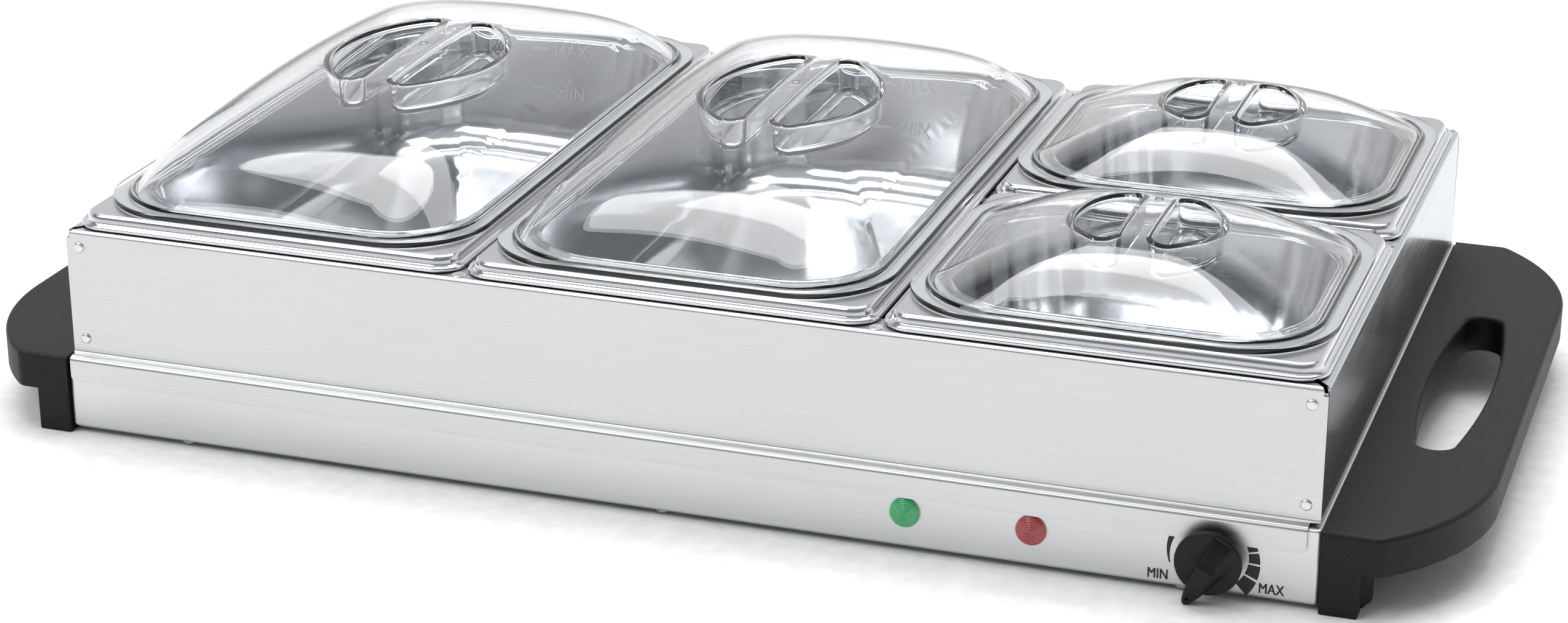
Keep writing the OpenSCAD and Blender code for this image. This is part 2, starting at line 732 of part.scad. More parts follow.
// Side panel: face with its top flange, a foot on the base, and two tabs
module frame_side_panel() {
    inner_y = frame_y - frame_t - side_gap;
    difference() {
        union() {
            along_y(2 * inner_y) sheet_section([
                [frame_x - side_flange_w, frame_top - frame_t / 2],
                [frame_x - frame_t / 2, frame_top - frame_t / 2],
                [frame_x - frame_t / 2, frame_bottom + frame_t / 2],
                [frame_x - frame_t / 2 - 6, frame_bottom + frame_t / 2]], frame_t, min(bend_r, 1));
            for (s = [-1, 1])
                translate([frame_x - tab_w, s > 0 ? inner_y - frame_t : -inner_y,
                    frame_bottom + 3])
                    cube([tab_w - frame_t / 2, frame_t, frame_h - rest_gap - 3 - 3 * frame_t]);
        }
        for (s = [-1, 1]) translate([frame_x, s * frame_y, frame_top - 3 * frame_t])
            rotate([0, 0, s * 45]) mirror([0, s > 0 ? 1 : 0, 0])
                translate([-flange_w * 3, -flange_w * 2 + corner_gap / 2, 0])
                    cube([flange_w * 4, flange_w * 2, 4 * frame_t]);
        for (s = [-1, 1])
            corner_rivet_places(s) cylinder(h = 20, r = rivet_r + run_gap, center = true);
        short_rivet_place(short_rivet_x)
            cylinder(h = 20, r = rivet_r + run_gap, center = true);
    }
}

module frame_right() color(steel) frame_side_panel();
module frame_left() color(steel) mirror([1, 0, 0]) frame_side_panel();

// Axis of a rivet on the short bar
module short_rivet_place(x) translate([x, 0, frame_top]) children();

// Bar with turned-down edges, along Y
module bar_shape(length, plain_end) {
    translate([-bar_w / 2, -length / 2, bar_z - frame_t]) cube([bar_w, length, frame_t]);
    for (s = [-1, 1])
        translate([s > 0 ? bar_w / 2 - frame_t : -bar_w / 2, -length / 2 + plain_end,
            bar_z - bar_edge]) cube([frame_t, length - 2 * plain_end, bar_edge]);
}

module long_bar(x) difference() {
    translate([x, 0, 0]) bar_shape(2 * (frame_y - bend_r - frame_t - bar_end), flange_w);
    for (s = [-1, 1])
        bar_rivet_places(s) cylinder(h = 20, r = rivet_r + run_gap, center = true);
    short_rivet_place(bar_x) cylinder(h = 20, r = rivet_r + run_gap, center = true);
    // notch that lets the short bar's tongue under this one
    translate([bar_x + 1, -bar_w / 2 - rest_gap, bar_z - bar_edge - cut])
        cube([bar_w, bar_w + 2 * rest_gap, bar_edge + cut - frame_t]);
}

module bar_left() color(steel) long_bar(-bar_x);
module bar_right() color(steel) long_bar(bar_x);

// The short bar has a tongue under the right-hand long bar, and lies under the side flange
module bar_short() color(steel) difference() {
    end_x = frame_x - frame_t - bend_r - bar_end;
    step_x = bar_x + bar_w / 2 + 1;
    top = bar_z - frame_t / 2;
    union() {
        along_y(bar_w) sheet_section([
            [bar_x - 4, top - frame_t - side_gap], [step_x, top - frame_t - side_gap],
            [step_x + 2, top], [end_x, top]], frame_t, 0.2);
        for (s = [-1, 1])
            translate([step_x + 3, s > 0 ? bar_w / 2 - frame_t : -bar_w / 2, bar_z - bar_edge])
                cube([end_x - side_flange_w - step_x - 3, frame_t, bar_edge - frame_t / 2]);
    }
    for (x = [bar_x, short_rivet_x])
        short_rivet_place(x) cylinder(h = 20, r = rivet_r + run_gap, center = true);
}

// Rivet with its head outside (z > 0) and a small closing head inside
module rivet(grip, head_r) {
    cylinder(h = rivet_head_h, r1 = head_r, r2 = head_r - 0.6);
    translate([0, 0, -grip]) cylinder(h = grip, r = rivet_r);
    translate([0, 0, -grip - 0.8]) cylinder(h = 0.8, r = rivet_r + 0.7);
}

module corner_rivets() color(bright)
    for (s = [-1, 1]) corner_rivet_places(s) rivet(2 * frame_t + side_gap, rivet_head_r);

module bar_rivets() color(bright) {
    grip = 2 * frame_t + side_gap;
    for (s = [-1, 1]) bar_rivet_places(s) rivet(grip, flange_rivet_r);
    short_rivet_place(short_rivet_x) rivet(grip, rivet_head_r - 0.4);
    translate([0, 0, -frame_t - side_gap]) short_rivet_place(bar_x)
        rivet(grip, rivet_head_r - 0.4);
}

// ---------------------------------------------------------------- pans

// Solid tub that narrows downwards and has a chamfered floor edge
module tub(w, d, r, top, bottom, lean) {
    foot = 6;
    run = top - bottom - foot;
    k = lean * run / (run + foot);
    translate([0, 0, top]) mirror([0, 0, 1]) linear_extrude(run, slices = 1,
        scale = [(w - 2 * k) / w, (d - 2 * k) / d]) round_rect(w, d, r, $fn = 32);
    translate([0, 0, bottom + foot]) mirror([0, 0, 1]) linear_extrude(foot, slices = 1,
        scale = [(w - 2 * lean - 4) / (w - 2 * k), (d - 2 * lean - 4) / (d - 2 * k)])
        scale([(w - 2 * k) / w, (d - 2 * k) / d]) round_rect(w, d, r, $fn = 32);
}

module pan_shape(depth) {
    w = rim_width;
    open_w = w - 2 * land_x;
    open_d = depth - 2 * land_y;
    difference() {
        union() {
            translate([0, 0, rim_z]) linear_extrude(rim_h) round_rect(w, depth, rim_r);
            translate([0, 0, rim_z]) linear_extrude(rim_h + step_h)
                round_rect(w - 2 * rim_w, depth - 2 * rim_w, rim_r - rim_w);
        }
        difference() {
            translate([0, 0, rim_z - cut]) linear_extrude(rim_h + step_h + cut - pan_t)
                round_rect(w - 2 * rim_w - 2 * pan_t, depth - 2 * rim_w - 2 * pan_t,
                    rim_r - rim_w - pan_t);
            translate([0, 0, rim_z - 2 * cut]) linear_extrude(rim_h + step_h + 4 * cut)
                round_rect(open_w + 2 * pan_t, open_d + 2 * pan_t, opening_r + pan_t);
        }
        translate([0, 0, rim_z - cut]) linear_extrude(rim_h + step_h + 2 * cut)
            round_rect(open_w, open_d, opening_r);
    }
    difference() {
        tub(open_w + 2 * pan_t, open_d + 2 * pan_t, opening_r + pan_t, rim_z + rim_h, pan_bottom, draft);
        translate([0, 0, 0.001])
            tub(open_w, open_d, opening_r, rim_z + rim_h, pan_bottom + pan_t, draft);
    }
}

module pan(i) color(bright) translate(pan_place(i)) pan_shape(pan_depth(i));

// ---------------------------------------------------------------- lids

// Solid dome: an arch across the width, rounded down at the front and back
module dome(w, d, r, h) intersection() {
    linear_extrude(h) round_rect(w, d, r);
    along_y(d + cut) arch(w, h);
    along_x(w + cut) arch(d, h);
}

// Arch over a span, flat-topped when the span is long
module arch(span, h) {
    half = span / 2;
    reach = min(half, 2.6 * h);
    arc_r = (reach * reach + h * h) / (2 * h);
    flat = half - reach;
    intersection() {
        translate([-half, 0]) square([span, h]);
        union() {
            translate([-flat, h - arc_r * 2]) square([2 * flat + 0.001, arc_r * 2]);
            for (s = [-1, 1]) translate([s * flat, h - arc_r]) circle(arc_r, $fn = 256);
        }
    }
}

// Half-moons of the finger pockets, bounded by two arcs that meet at the grip's ends
module pockets(w, l, bar) {
    arc_r = (w * w + l * l) / (4 * w);
    for (s = [-1, 1]) intersection() {
        translate([s * (w / 2 - arc_r), 0]) circle(arc_r, $fn = 96);
        translate([s > 0 ? bar / 2 : -w, -l]) square([w - bar / 2, 2 * l]);
    }
}

module lid_shape(depth, height, grip_w, grip_l) {
    w = rim_width - 2 * lid_margin_x;
    d = depth - 2 * lid_margin_y;
    foot_w = w - 2 * lid_flange;
    foot_d = d - 2 * lid_flange;
    foot_r = lid_r - 4;
    pocket_z = height - pocket_depth;
    translate([0, 0, lid_z]) difference() {
        union() {
            linear_extrude(lid_t) round_rect(w, d, lid_r);
            linear_extrude(lid_t + ridge_h)
                round_rect(foot_w + 2 * ridge_w, foot_d + 2 * ridge_w, foot_r + ridge_w);
            dome(foot_w, foot_d, foot_r, height);
            translate([0, 0, -rest_gap - locator_h]) linear_extrude(locator_h + rest_gap + cut)
                round_rect(rim_width - 2 * land_x - 2 * locator_gap,
                    depth - 2 * land_y - 2 * locator_gap, opening_r - locator_gap);
        }
        difference() {
            union() {
                intersection() {
                    dome(foot_w - 2 * lid_t, foot_d - 2 * lid_t, foot_r - lid_t, height - lid_t);
                    translate([-w, -d, lid_t]) cube([2 * w, 2 * d, height]);
                }
                translate([0, 0, -rest_gap - locator_h - cut])
                    linear_extrude(locator_h + rest_gap + cut + lid_t)
                        round_rect(rim_width - 2 * land_x - 2 * locator_gap - 2 * lid_t,
                            depth - 2 * land_y - 2 * locator_gap - 2 * lid_t,
                            opening_r - locator_gap - lid_t);
            }
            translate([0, 0, pocket_z - lid_t]) linear_extrude(height)
                pockets(grip_w + 2 * lid_t, grip_l + 2 * lid_t, grip_bar - 2 * lid_t);
        }
        translate([0, 0, pocket_z]) linear_extrude(height)
            pockets(grip_w, grip_l, grip_bar);
    }
}

module lid(i) color(clear) translate(pan_place(i))
    lid_shape(pan_depth(i), is_large(i) ? large_lid_h : small_lid_h,
        is_large(i) ? large_grip_w : small_grip_w, is_large(i) ? large_grip_l : small_grip_l);

// ---------------------------------------------------------------- assembly

base_shell();
bottom_cover();
cover_screws();
handle_left();
handle_right();
handle_screws();
lens(lamp_x, [0.1, 0.6, 0.3]);  // lens_green
lens(lamp_x + lamp_pitch, [0.6, 0.1, 0.12]);  // lens_red
lamp(lamp_x);  // lamp_green
lamp(lamp_x + lamp_pitch);  // lamp_red
heating_element();
element_clips();
heat_reflector();
insulation_pad();
pad_posts();
thermostat_body();
thermostat_bracket();
thermal_fuse();
terminal_block();
internal_leads();
earth_terminal();
cord_gland();
thermostat_shaft();
knob();
knob_clip();
frame_front();
frame_back();
frame_left();
frame_right();
bar_left();
bar_right();
bar_short();
corner_rivets();
bar_rivets();
for (i = [0 : 3]) {
    foot(i);
    pan(i);
    lid(i);
}
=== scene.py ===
"""Looks of an electric buffet server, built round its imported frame.

Each sub-assembly is a class that holds its sizes in millimetres as dataclass
fields, builds its meshes in the row frame and dresses them. A finished piece
stands at the origin, with its place in its mesh.
"""

import logging
import math
from dataclasses import dataclass
from enum import Enum
from typing import Callable, Iterable, Sequence

import bmesh
import bpy
import numpy as np
from mathutils import Matrix, Vector
from mathutils.geometry import delaunay_2d_cdt

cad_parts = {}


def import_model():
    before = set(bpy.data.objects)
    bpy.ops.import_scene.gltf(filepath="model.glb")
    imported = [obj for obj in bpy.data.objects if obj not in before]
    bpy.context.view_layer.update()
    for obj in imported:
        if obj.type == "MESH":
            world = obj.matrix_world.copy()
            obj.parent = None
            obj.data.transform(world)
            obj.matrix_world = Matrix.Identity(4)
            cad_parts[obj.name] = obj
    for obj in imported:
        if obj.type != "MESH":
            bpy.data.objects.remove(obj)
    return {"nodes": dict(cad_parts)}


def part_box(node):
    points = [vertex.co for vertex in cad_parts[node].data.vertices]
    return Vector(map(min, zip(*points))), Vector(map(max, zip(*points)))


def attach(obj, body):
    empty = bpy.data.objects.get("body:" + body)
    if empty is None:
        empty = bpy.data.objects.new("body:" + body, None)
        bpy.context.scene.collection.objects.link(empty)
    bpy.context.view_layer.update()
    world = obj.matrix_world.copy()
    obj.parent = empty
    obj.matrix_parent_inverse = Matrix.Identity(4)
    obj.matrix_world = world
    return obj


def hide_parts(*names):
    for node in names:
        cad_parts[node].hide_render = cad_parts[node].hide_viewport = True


LOG = logging.getLogger("buffet_server")
MM = 0.001
# edges sharper than this many degrees stay crisp
CRISP = 34.0
# bend of a pressed edge, as shares of its radius inwards and downwards
QUARTER = [(1 - math.cos(a), 1 - math.sin(a)) for a in np.linspace(0, math.pi / 2, 6)]
# Principled index of refraction of the clear and the black plastics
PLASTIC_IOR = 1.49

# the CAD objects of the frame, by node name
NODES: dict[str, bpy.types.Object] = {}

Point2 = tuple[float, float]
Point3 = tuple[float, float, float]
Colour = tuple[float, float, float, float]


class Side(Enum):
    """Side of the server, as the sign of its X."""

    LEFT = -1
    RIGHT = 1


class Wall(Enum):
    """Front or back wall, as the sign of its Y."""

    FRONT = -1
    BACK = 1


class Grain(Enum):
    """Direction of the brushing of a sheet."""

    ALONG_X = (1.0, 0.0, 0.0)
    ALONG_Y = (0.0, 1.0, 0.0)


class Dish(Enum):
    """Places of the pans, with True for a large one."""

    LEFT = ("left", True)
    MIDDLE = ("middle", True)
    RIGHT_BACK = ("right_back", False)
    RIGHT_FRONT = ("right_front", False)

    @property
    def word(self) -> str:
        """Name of the place."""
        return self.value[0]

    @property
    def large(self) -> bool:
        """Whether the pan takes a whole column."""
        return self.value[1]


# ------------------------------------------------------------------ finishes


def linear(code: str) -> Colour:
    """Turns an sRGB hex colour into linear values.

    Args:
        code: Six hex digits after a hash sign.

    Returns:
        Linear red, green, blue and an alpha of 1.
    """
    parts = [int(code[i : i + 2], 16) / 255 for i in (1, 3, 5)]
    low = [c / 12.92 if c <= 0.04045 else ((c + 0.055) / 1.055) ** 2.4 for c in parts]
    return (low[0], low[1], low[2], 1.0)


def placed(name: str, data: bpy.types.ID) -> bpy.types.Object:
    """Puts a new object with some data into the scene."""
    thing = bpy.data.objects.new(name, data)
    bpy.context.scene.collection.objects.link(thing)
    return thing


def add_node(
    tree: bpy.types.NodeTree,
    kind: str,
    values: dict | None = None,
    links: dict | None = None,
    **settings: object,
) -> bpy.types.Node:
    """Adds one node with its settings, socket values and links.

    Args:
        tree: Tree that gets the node.
        kind: The node's type name.
        values: Input name or number to its value.
        links: Input name or number to the socket that feeds it.
        **settings: Attributes of the node.

    Returns:
        The new node.
    """
    node = tree.nodes.new(kind)
    for key, value in settings.items():
        setattr(node, key, value)
    for key, value in (values or {}).items():
        node.inputs[key].default_value = value
    for key, socket in (links or {}).items():
        tree.links.new(socket, node.inputs[key])
    return node


def principled(tree: bpy.types.NodeTree, values: dict, links: dict) -> bpy.types.NodeSocket:
    """Adds a Principled shader and returns its socket."""
    return add_node(tree, "ShaderNodeBsdfPrincipled", values, links).outputs["BSDF"]


@dataclass(frozen=True)
class Finish:
    """A finish, made into a material once and shared by the pieces that have it."""

    name: str
    colour: str
    roughness: float

    def material(self) -> bpy.types.Material:
        """The material of this finish, made when first asked for."""
        found = bpy.data.materials.get(self.name)
        if found is not None:
            return found
        made = bpy.data.materials.new(self.name)
        made.use_nodes = True
        tree = made.node_tree
        tree.nodes.clear()
        out = add_node(tree, "ShaderNodeOutputMaterial")
        tree.links.new(self.surface(tree), out.inputs["Surface"])
        return made

    def pattern(
        self, tree: bpy.types.NodeTree, sizes: Point3, detail: float = 2.0
    ) -> bpy.types.NodeSocket:
        """Noise on the object's own coordinates.

        Args:
            tree: Tree of the material.
            sizes: Size of the pattern along X, Y and Z, in millimetres.
            detail: Octaves of the noise.

        Returns:
            The noise value, from 0 to 1.
        """
        where = add_node(tree, "ShaderNodeTexCoord")
        scale = tuple(1 / (s * MM) for s in sizes)
        mapped = add_node(
            tree, "ShaderNodeMapping", {"Scale": scale}, {"Vector": where.outputs["Object"]}
        )
        noise = add_node(
            tree,
            "ShaderNodeTexNoise",
            {"Scale": 1.0, "Detail": detail, "Roughness": 0.55},
            {"Vector": mapped.outputs["Vector"]},
        )
        return noise.outputs["Fac"]

    def spread(
        self, tree: bpy.types.NodeTree, value: bpy.types.NodeSocket, low: float, high: float
    ) -> bpy.types.NodeSocket:
        """Maps a noise value of 0.3 to 0.7 onto a range.

        Args:
            tree: Tree of the material.
            value: The noise value.
            low: Result where the noise is low.
            high: Result where the noise is high.

        Returns:
            The mapped value.
        """
        node = add_node(
            tree,
            "ShaderNodeMapRange",
            {"From Min": 0.3, "From Max": 0.7, "To Min": low, "To Max": high},
            {"Value": value},
        )
        return node.outputs["Result"]

    def tint(
        self, tree: bpy.types.NodeTree, value: bpy.types.NodeSocket, dark: float
    ) -> bpy.types.NodeSocket:
        """The finish's colour, a little darker where a noise is low.

        Args:
            tree: Tree of the material.
            value: The noise value.
            dark: Share of the colour's brightness that stays where it is darkest.

        Returns:
            The colour.
        """
        full = linear(self.colour)
        low = (full[0] * dark, full[1] * dark, full[2] * dark, 1.0)
        mix = add_node(tree, "ShaderNodeMix", data_type="RGBA")
        mix.inputs[6].default_value = low
        mix.inputs[7].default_value = full
        tree.links.new(self.spread(tree, value, 0.0, 1.0), mix.inputs[0])
        return mix.outputs[2]

    def bump(
        self, tree: bpy.types.NodeTree, value: bpy.types.NodeSocket, depth: float, strength: float
    ) -> bpy.types.NodeSocket:
        """A bumped normal.

        Args:
            tree: Tree of the material.
            value: Height from 0 to 1.
            depth: Depth of the bumps in millimetres.
            strength: Share of the effect.

        Returns:
            The normal.
        """
        values = {"Strength": strength, "Distance": depth * MM}
        node = add_node(tree, "ShaderNodeBump", values, {"Height": value})
        return node.outputs["Normal"]

    def surface(self, tree: bpy.types.NodeTree) -> bpy.types.NodeSocket:
        """The shader that the material shows: a plain moulded or cast surface."""
        noise = self.pattern(tree, (9.0, 9.0, 9.0))
        return principled(
            tree,
            {"Roughness": self.roughness},
            {"Base Color": self.tint(tree, noise, 0.9)},
        )


@dataclass(frozen=True)
class BrushedSteel(Finish):
    """Stainless sheet ground with a belt: fine parallel scratches stretch each
    reflection across them, so the sheet looks soft and pale, with faint streaks."""

    grain: Grain = Grain.ALONG_X
    # the real scratches are about 0.05 mm wide; they are drawn wide enough to show
    scratch_w: float = 0.55
    scratch_len: float = 38.0
    stretch: float = 0.55

    def surface(self, tree: bpy.types.NodeTree) -> bpy.types.NodeSocket:
        """The brushed metal shader."""
        along = self.grain is Grain.ALONG_X
        sizes = (
            self.scratch_len if along else self.scratch_w,
            self.scratch_w if along else self.scratch_len,
            self.scratch_w,
        )
        fine = self.pattern(tree, sizes, 3.0)
        cloud = self.pattern(tree, (90.0, 60.0, 40.0))
        tangent = add_node(
            tree,
            "ShaderNodeCombineXYZ",
            {"X": self.grain.value[0], "Y": self.grain.value[1], "Z": self.grain.value[2]},
        )
        rough = add_node(
            tree,
            "ShaderNodeMath",
            links={
                0: self.spread(tree, fine, -0.035, 0.035),
                1: self.spread(tree, cloud, self.roughness - 0.02, self.roughness + 0.03),
            },
            operation="ADD",
        )
        return principled(
            tree,
            {"Metallic": 1.0, "Anisotropic": self.stretch},
            {
                "Base Color": self.tint(tree, fine, 0.93),
                "Roughness": rough.outputs[0],
                "Normal": self.bump(tree, fine, 0.01, 0.25),
                "Tangent": tangent.outputs["Vector"],
            },
        )


@dataclass(frozen=True)
class PolishedSteel(Finish):
    """Deep-drawn stainless steel, buffed: it mirrors its surroundings, slightly
    rippled where the sheet was stretched."""

    ripple: float = 0.05

    def surface(self, tree: bpy.types.NodeTree) -> bpy.types.NodeSocket:
        """The polished metal shader."""
        wave = self.pattern(tree, (24.0, 24.0, 24.0), 1.0)
        fine = self.pattern(tree, (30.0, 0.7, 0.7), 2.0)
        return principled(
            tree,
            {"Metallic": 1.0},
            {
                "Base Color": self.tint(tree, fine, 0.95),
                "Roughness": self.spread(tree, fine, self.roughness - 0.02, self.roughness + 0.03),
                "Normal": self.bump(tree, wave, 0.4, self.ripple),
            },
        )


@dataclass(frozen=True)
class PlainMetal(Finish):
    """Galvanised sheet, zinc-plated screws, brass or aluminium: a metal with a
    cloudy, slightly uneven skin."""

    cloud: float = 6.0

    def surface(self, tree: bpy.types.NodeTree) -> bpy.types.NodeSocket:
        """The plated metal shader."""
        noise = self.pattern(tree, (self.cloud, self.cloud, self.cloud), 2.0)
        return principled(
            tree,
            {"Metallic": 1.0},
            {
                "Base Color": self.tint(tree, noise, 0.85),
                "Roughness": self.spread(tree, noise, self.roughness - 0.06, self.roughness + 0.06),
            },
        )


@dataclass(frozen=True)
class TexturedPlastic(Finish):
    """Polypropylene moulded in a spark-eroded tool: a fine grain that breaks up
    highlights, so black looks charcoal where light grazes it."""

    # the real grain is about 0.15 mm; it is drawn coarser so that it shows
    grit: float = 0.6
    depth: float = 0.05

    def surface(self, tree: bpy.types.NodeTree) -> bpy.types.NodeSocket:
        """The grained plastic shader."""
        grit = self.pattern(tree, (self.grit, self.grit, self.grit), 2.0)
        cloud = self.pattern(tree, (45.0, 45.0, 45.0), 2.0)
        return principled(
            tree,
            {"IOR": PLASTIC_IOR, "Specular IOR Level": 0.27},
            {
                "Base Color": self.tint(tree, cloud, 0.86),
                "Roughness": self.spread(tree, grit, self.roughness - 0.06, self.roughness + 0.06),
                "Normal": self.bump(tree, grit, self.depth, 0.5),
            },
        )


@dataclass(frozen=True)
class ClearPlastic(Finish):
    """Injection-moulded clear styrene: it bends and mirrors light as glass does,
    and lamps shine through it."""

    def surface(self, tree: bpy.types.NodeTree) -> bpy.types.NodeSocket:
        """The clear shader, which lets lamps through."""
        glass = add_node(
            tree,
            "ShaderNodeBsdfPrincipled",
            {
                "Base Color": linear(self.colour),
                "Roughness": self.roughness,
                "IOR": PLASTIC_IOR,
                "Transmission Weight": 1.0,
            },
        )
        open_way = add_node(tree, "ShaderNodeBsdfTransparent", {"Color": linear("#F2F5F6")})
        rays = add_node(tree, "ShaderNodeLightPath")
        mix = add_node(
            tree,
            "ShaderNodeMixShader",
            links={
                0: rays.outputs["Is Shadow Ray"],
                1: glass.outputs["BSDF"],
                2: open_way.outputs["BSDF"],
            },
        )
        return mix.outputs["Shader"]


@dataclass(frozen=True)
class LensPlastic(Finish):
    """Dyed clear plastic of a signal lamp, off: deep colour under a gloss, with a
    painted sheen: a pale tint where a face turns away from the camera, most on
    the slopes of the ring-shaped grooves."""

    # colour of the painted sheen, shown where a face turns away from the camera
    pale: str = "#7FD8A8"

    def surface(self, tree: bpy.types.NodeTree) -> bpy.types.NodeSocket:
        """The dyed lens shader, with its painted sheen."""
        # painted sheen: the pale tint is mixed in by how far each face turns from the camera,
        # standing in for light caught in the grooves
        facing = add_node(tree, "ShaderNodeLayerWeight", {"Blend": 0.35})
        mix = add_node(tree, "ShaderNodeMix", data_type="RGBA")
        mix.inputs[6].default_value = linear(self.colour)
        mix.inputs[7].default_value = linear(self.pale)
        tree.links.new(facing.outputs["Facing"], mix.inputs[0])
        return principled(
            tree,
            {
                "Roughness": self.roughness,
                "Coat Weight": 0.6,
                "Coat Roughness": 0.05,
                "IOR": PLASTIC_IOR,
            },
            {"Base Color": mix.outputs[2]},
        )


PANEL_STEEL = BrushedSteel("brushed_stainless_along_x", "#C9CACA", 0.34)
SIDE_STEEL = BrushedSteel("brushed_stainless_along_y", "#C3C6C9", 0.2, Grain.ALONG_Y, stretch=0.7)
BASE_STEEL = BrushedSteel("brushed_stainless_base", "#CFD0D0", 0.36)
PAN_STEEL = PolishedSteel("buffed_stainless_pan", "#D6D7D9", 0.12)
RIM_STEEL = BrushedSteel("satin_stainless_rim", "#BFC0C2", 0.34, stretch=0.3)
RIVET_STEEL = PlainMetal("rivet_steel", "#DADBDC", 0.3, 3.0)
SCREW_STEEL = PlainMetal("zinc_plated_screw", "#B9BCBE", 0.35, 2.0)
GALVANISED = PlainMetal("galvanised_sheet", "#AEB3B5", 0.45, 9.0)
ALUMINIUM = PlainMetal("mill_aluminium", "#C9CBCD", 0.32, 14.0)
SHEATH = PlainMetal("oxidised_element_sheath", "#6E6A66", 0.5, 5.0)
BRASS = PlainMetal("brass", "#C9A557", 0.35, 3.0)
HANDLE_PLASTIC = TexturedPlastic("grained_black_polypropylene", "#0E0F10", 0.55)
KNOB_PLASTIC = TexturedPlastic("satin_black_nylon", "#0C0D0E", 0.42, 0.5, 0.02)
FOOT_RUBBER = TexturedPlastic("moulded_rubber", "#1C1C1D", 0.8, 0.8)
IVORY = Finish("heat_resistant_ivory_plastic", "#DCD6C6", 0.45)
CERAMIC = Finish("ceramic_fibre_pad", "#E3DCC9", 0.95)
LEAD = Finish("silicone_lead_insulation", "#A23A2C", 0.5)
INK = Finish("screen_printed_ink", "#161718", 0.55)
PALE_FLOOR = Finish("pale_floor", "#F4F4F4", 0.9)
LID_PLASTIC = ClearPlastic("clear_moulded_styrene", "#FBFCFD", 0.015)
GREEN_LENS = LensPlastic("green_lamp_lens", "#0E8F4F", 0.18, "#8FE3B4")
RED_LENS = LensPlastic("red_lamp_lens", "#8E1822", 0.18, "#E08A86")


# ------------------------------------------------------------------ mesh work


def rounded_rect(
    half_w: float, half_d: float, radius: float, corner: int = 12, side: int = 4
) -> list[Point2]:
    """Points of a rectangle with round corners, anticlockwise.

    Args:
        half_w: Half its width.
        half_d: Half its depth.
        radius: Radius of the corners.
        corner: Steps in each corner.
        side: Steps along each side.

    Returns:
        The points, four times corner and side in all.
    """
    points: list[Point2] = []
    signs = [(1, 1), (-1, 1), (-1, -1), (1, -1)]
    for k, (sx, sy) in enumerate(signs):
        cx, cy = sx * (half_w - radius), sy * (half_d - radius)
        arc = [math.radians(90 * k + 90 * i / corner) for i in range(corner + 1)]
        points += [(cx + radius * math.cos(a), cy + radius * math.sin(a)) for a in arc]
        nx, ny = signs[(k + 1) % 4]
        turn = math.radians(90 * (k + 1))
        end = (
            nx * (half_w - radius) + radius * math.cos(turn),
            ny * (half_d - radius) + radius * math.sin(turn),
        )
        start = points[-1]
        points += [
            (start[0] + (end[0] - start[0]) * i / side, start[1] + (end[1] - start[1]) * i / side)
            for i in range(1, side)
        ]
    return points


def arc(
    centre: Point2, radius: float, start: float, sweep: float, steps: int
) -> list[Point2]:
    """Points along an arc, both ends included.

    Args:
        centre: Its centre.
        radius: Its radius.
        start: Angle that it starts from, in radians.
        sweep: Angle that it turns through, anticlockwise.
        steps: Steps along it.

    Returns:
        The points, one more than the steps.
    """
    turns = [start + sweep * i / steps for i in range(steps + 1)]
    return [(centre[0] + radius * math.cos(a), centre[1] + radius * math.sin(a)) for a in turns]


def inside(x: float, y: float, outline: Sequence[Point2]) -> bool:
    """Whether a point lies inside an outline."""
    hit = False
    for (x0, y0), (x1, y1) in zip(outline, list(outline[1:]) + [outline[0]]):
        if (y0 > y) != (y1 > y) and x < x0 + (y - y0) * (x1 - x0) / (y1 - y0):
            hit = not hit
    return hit


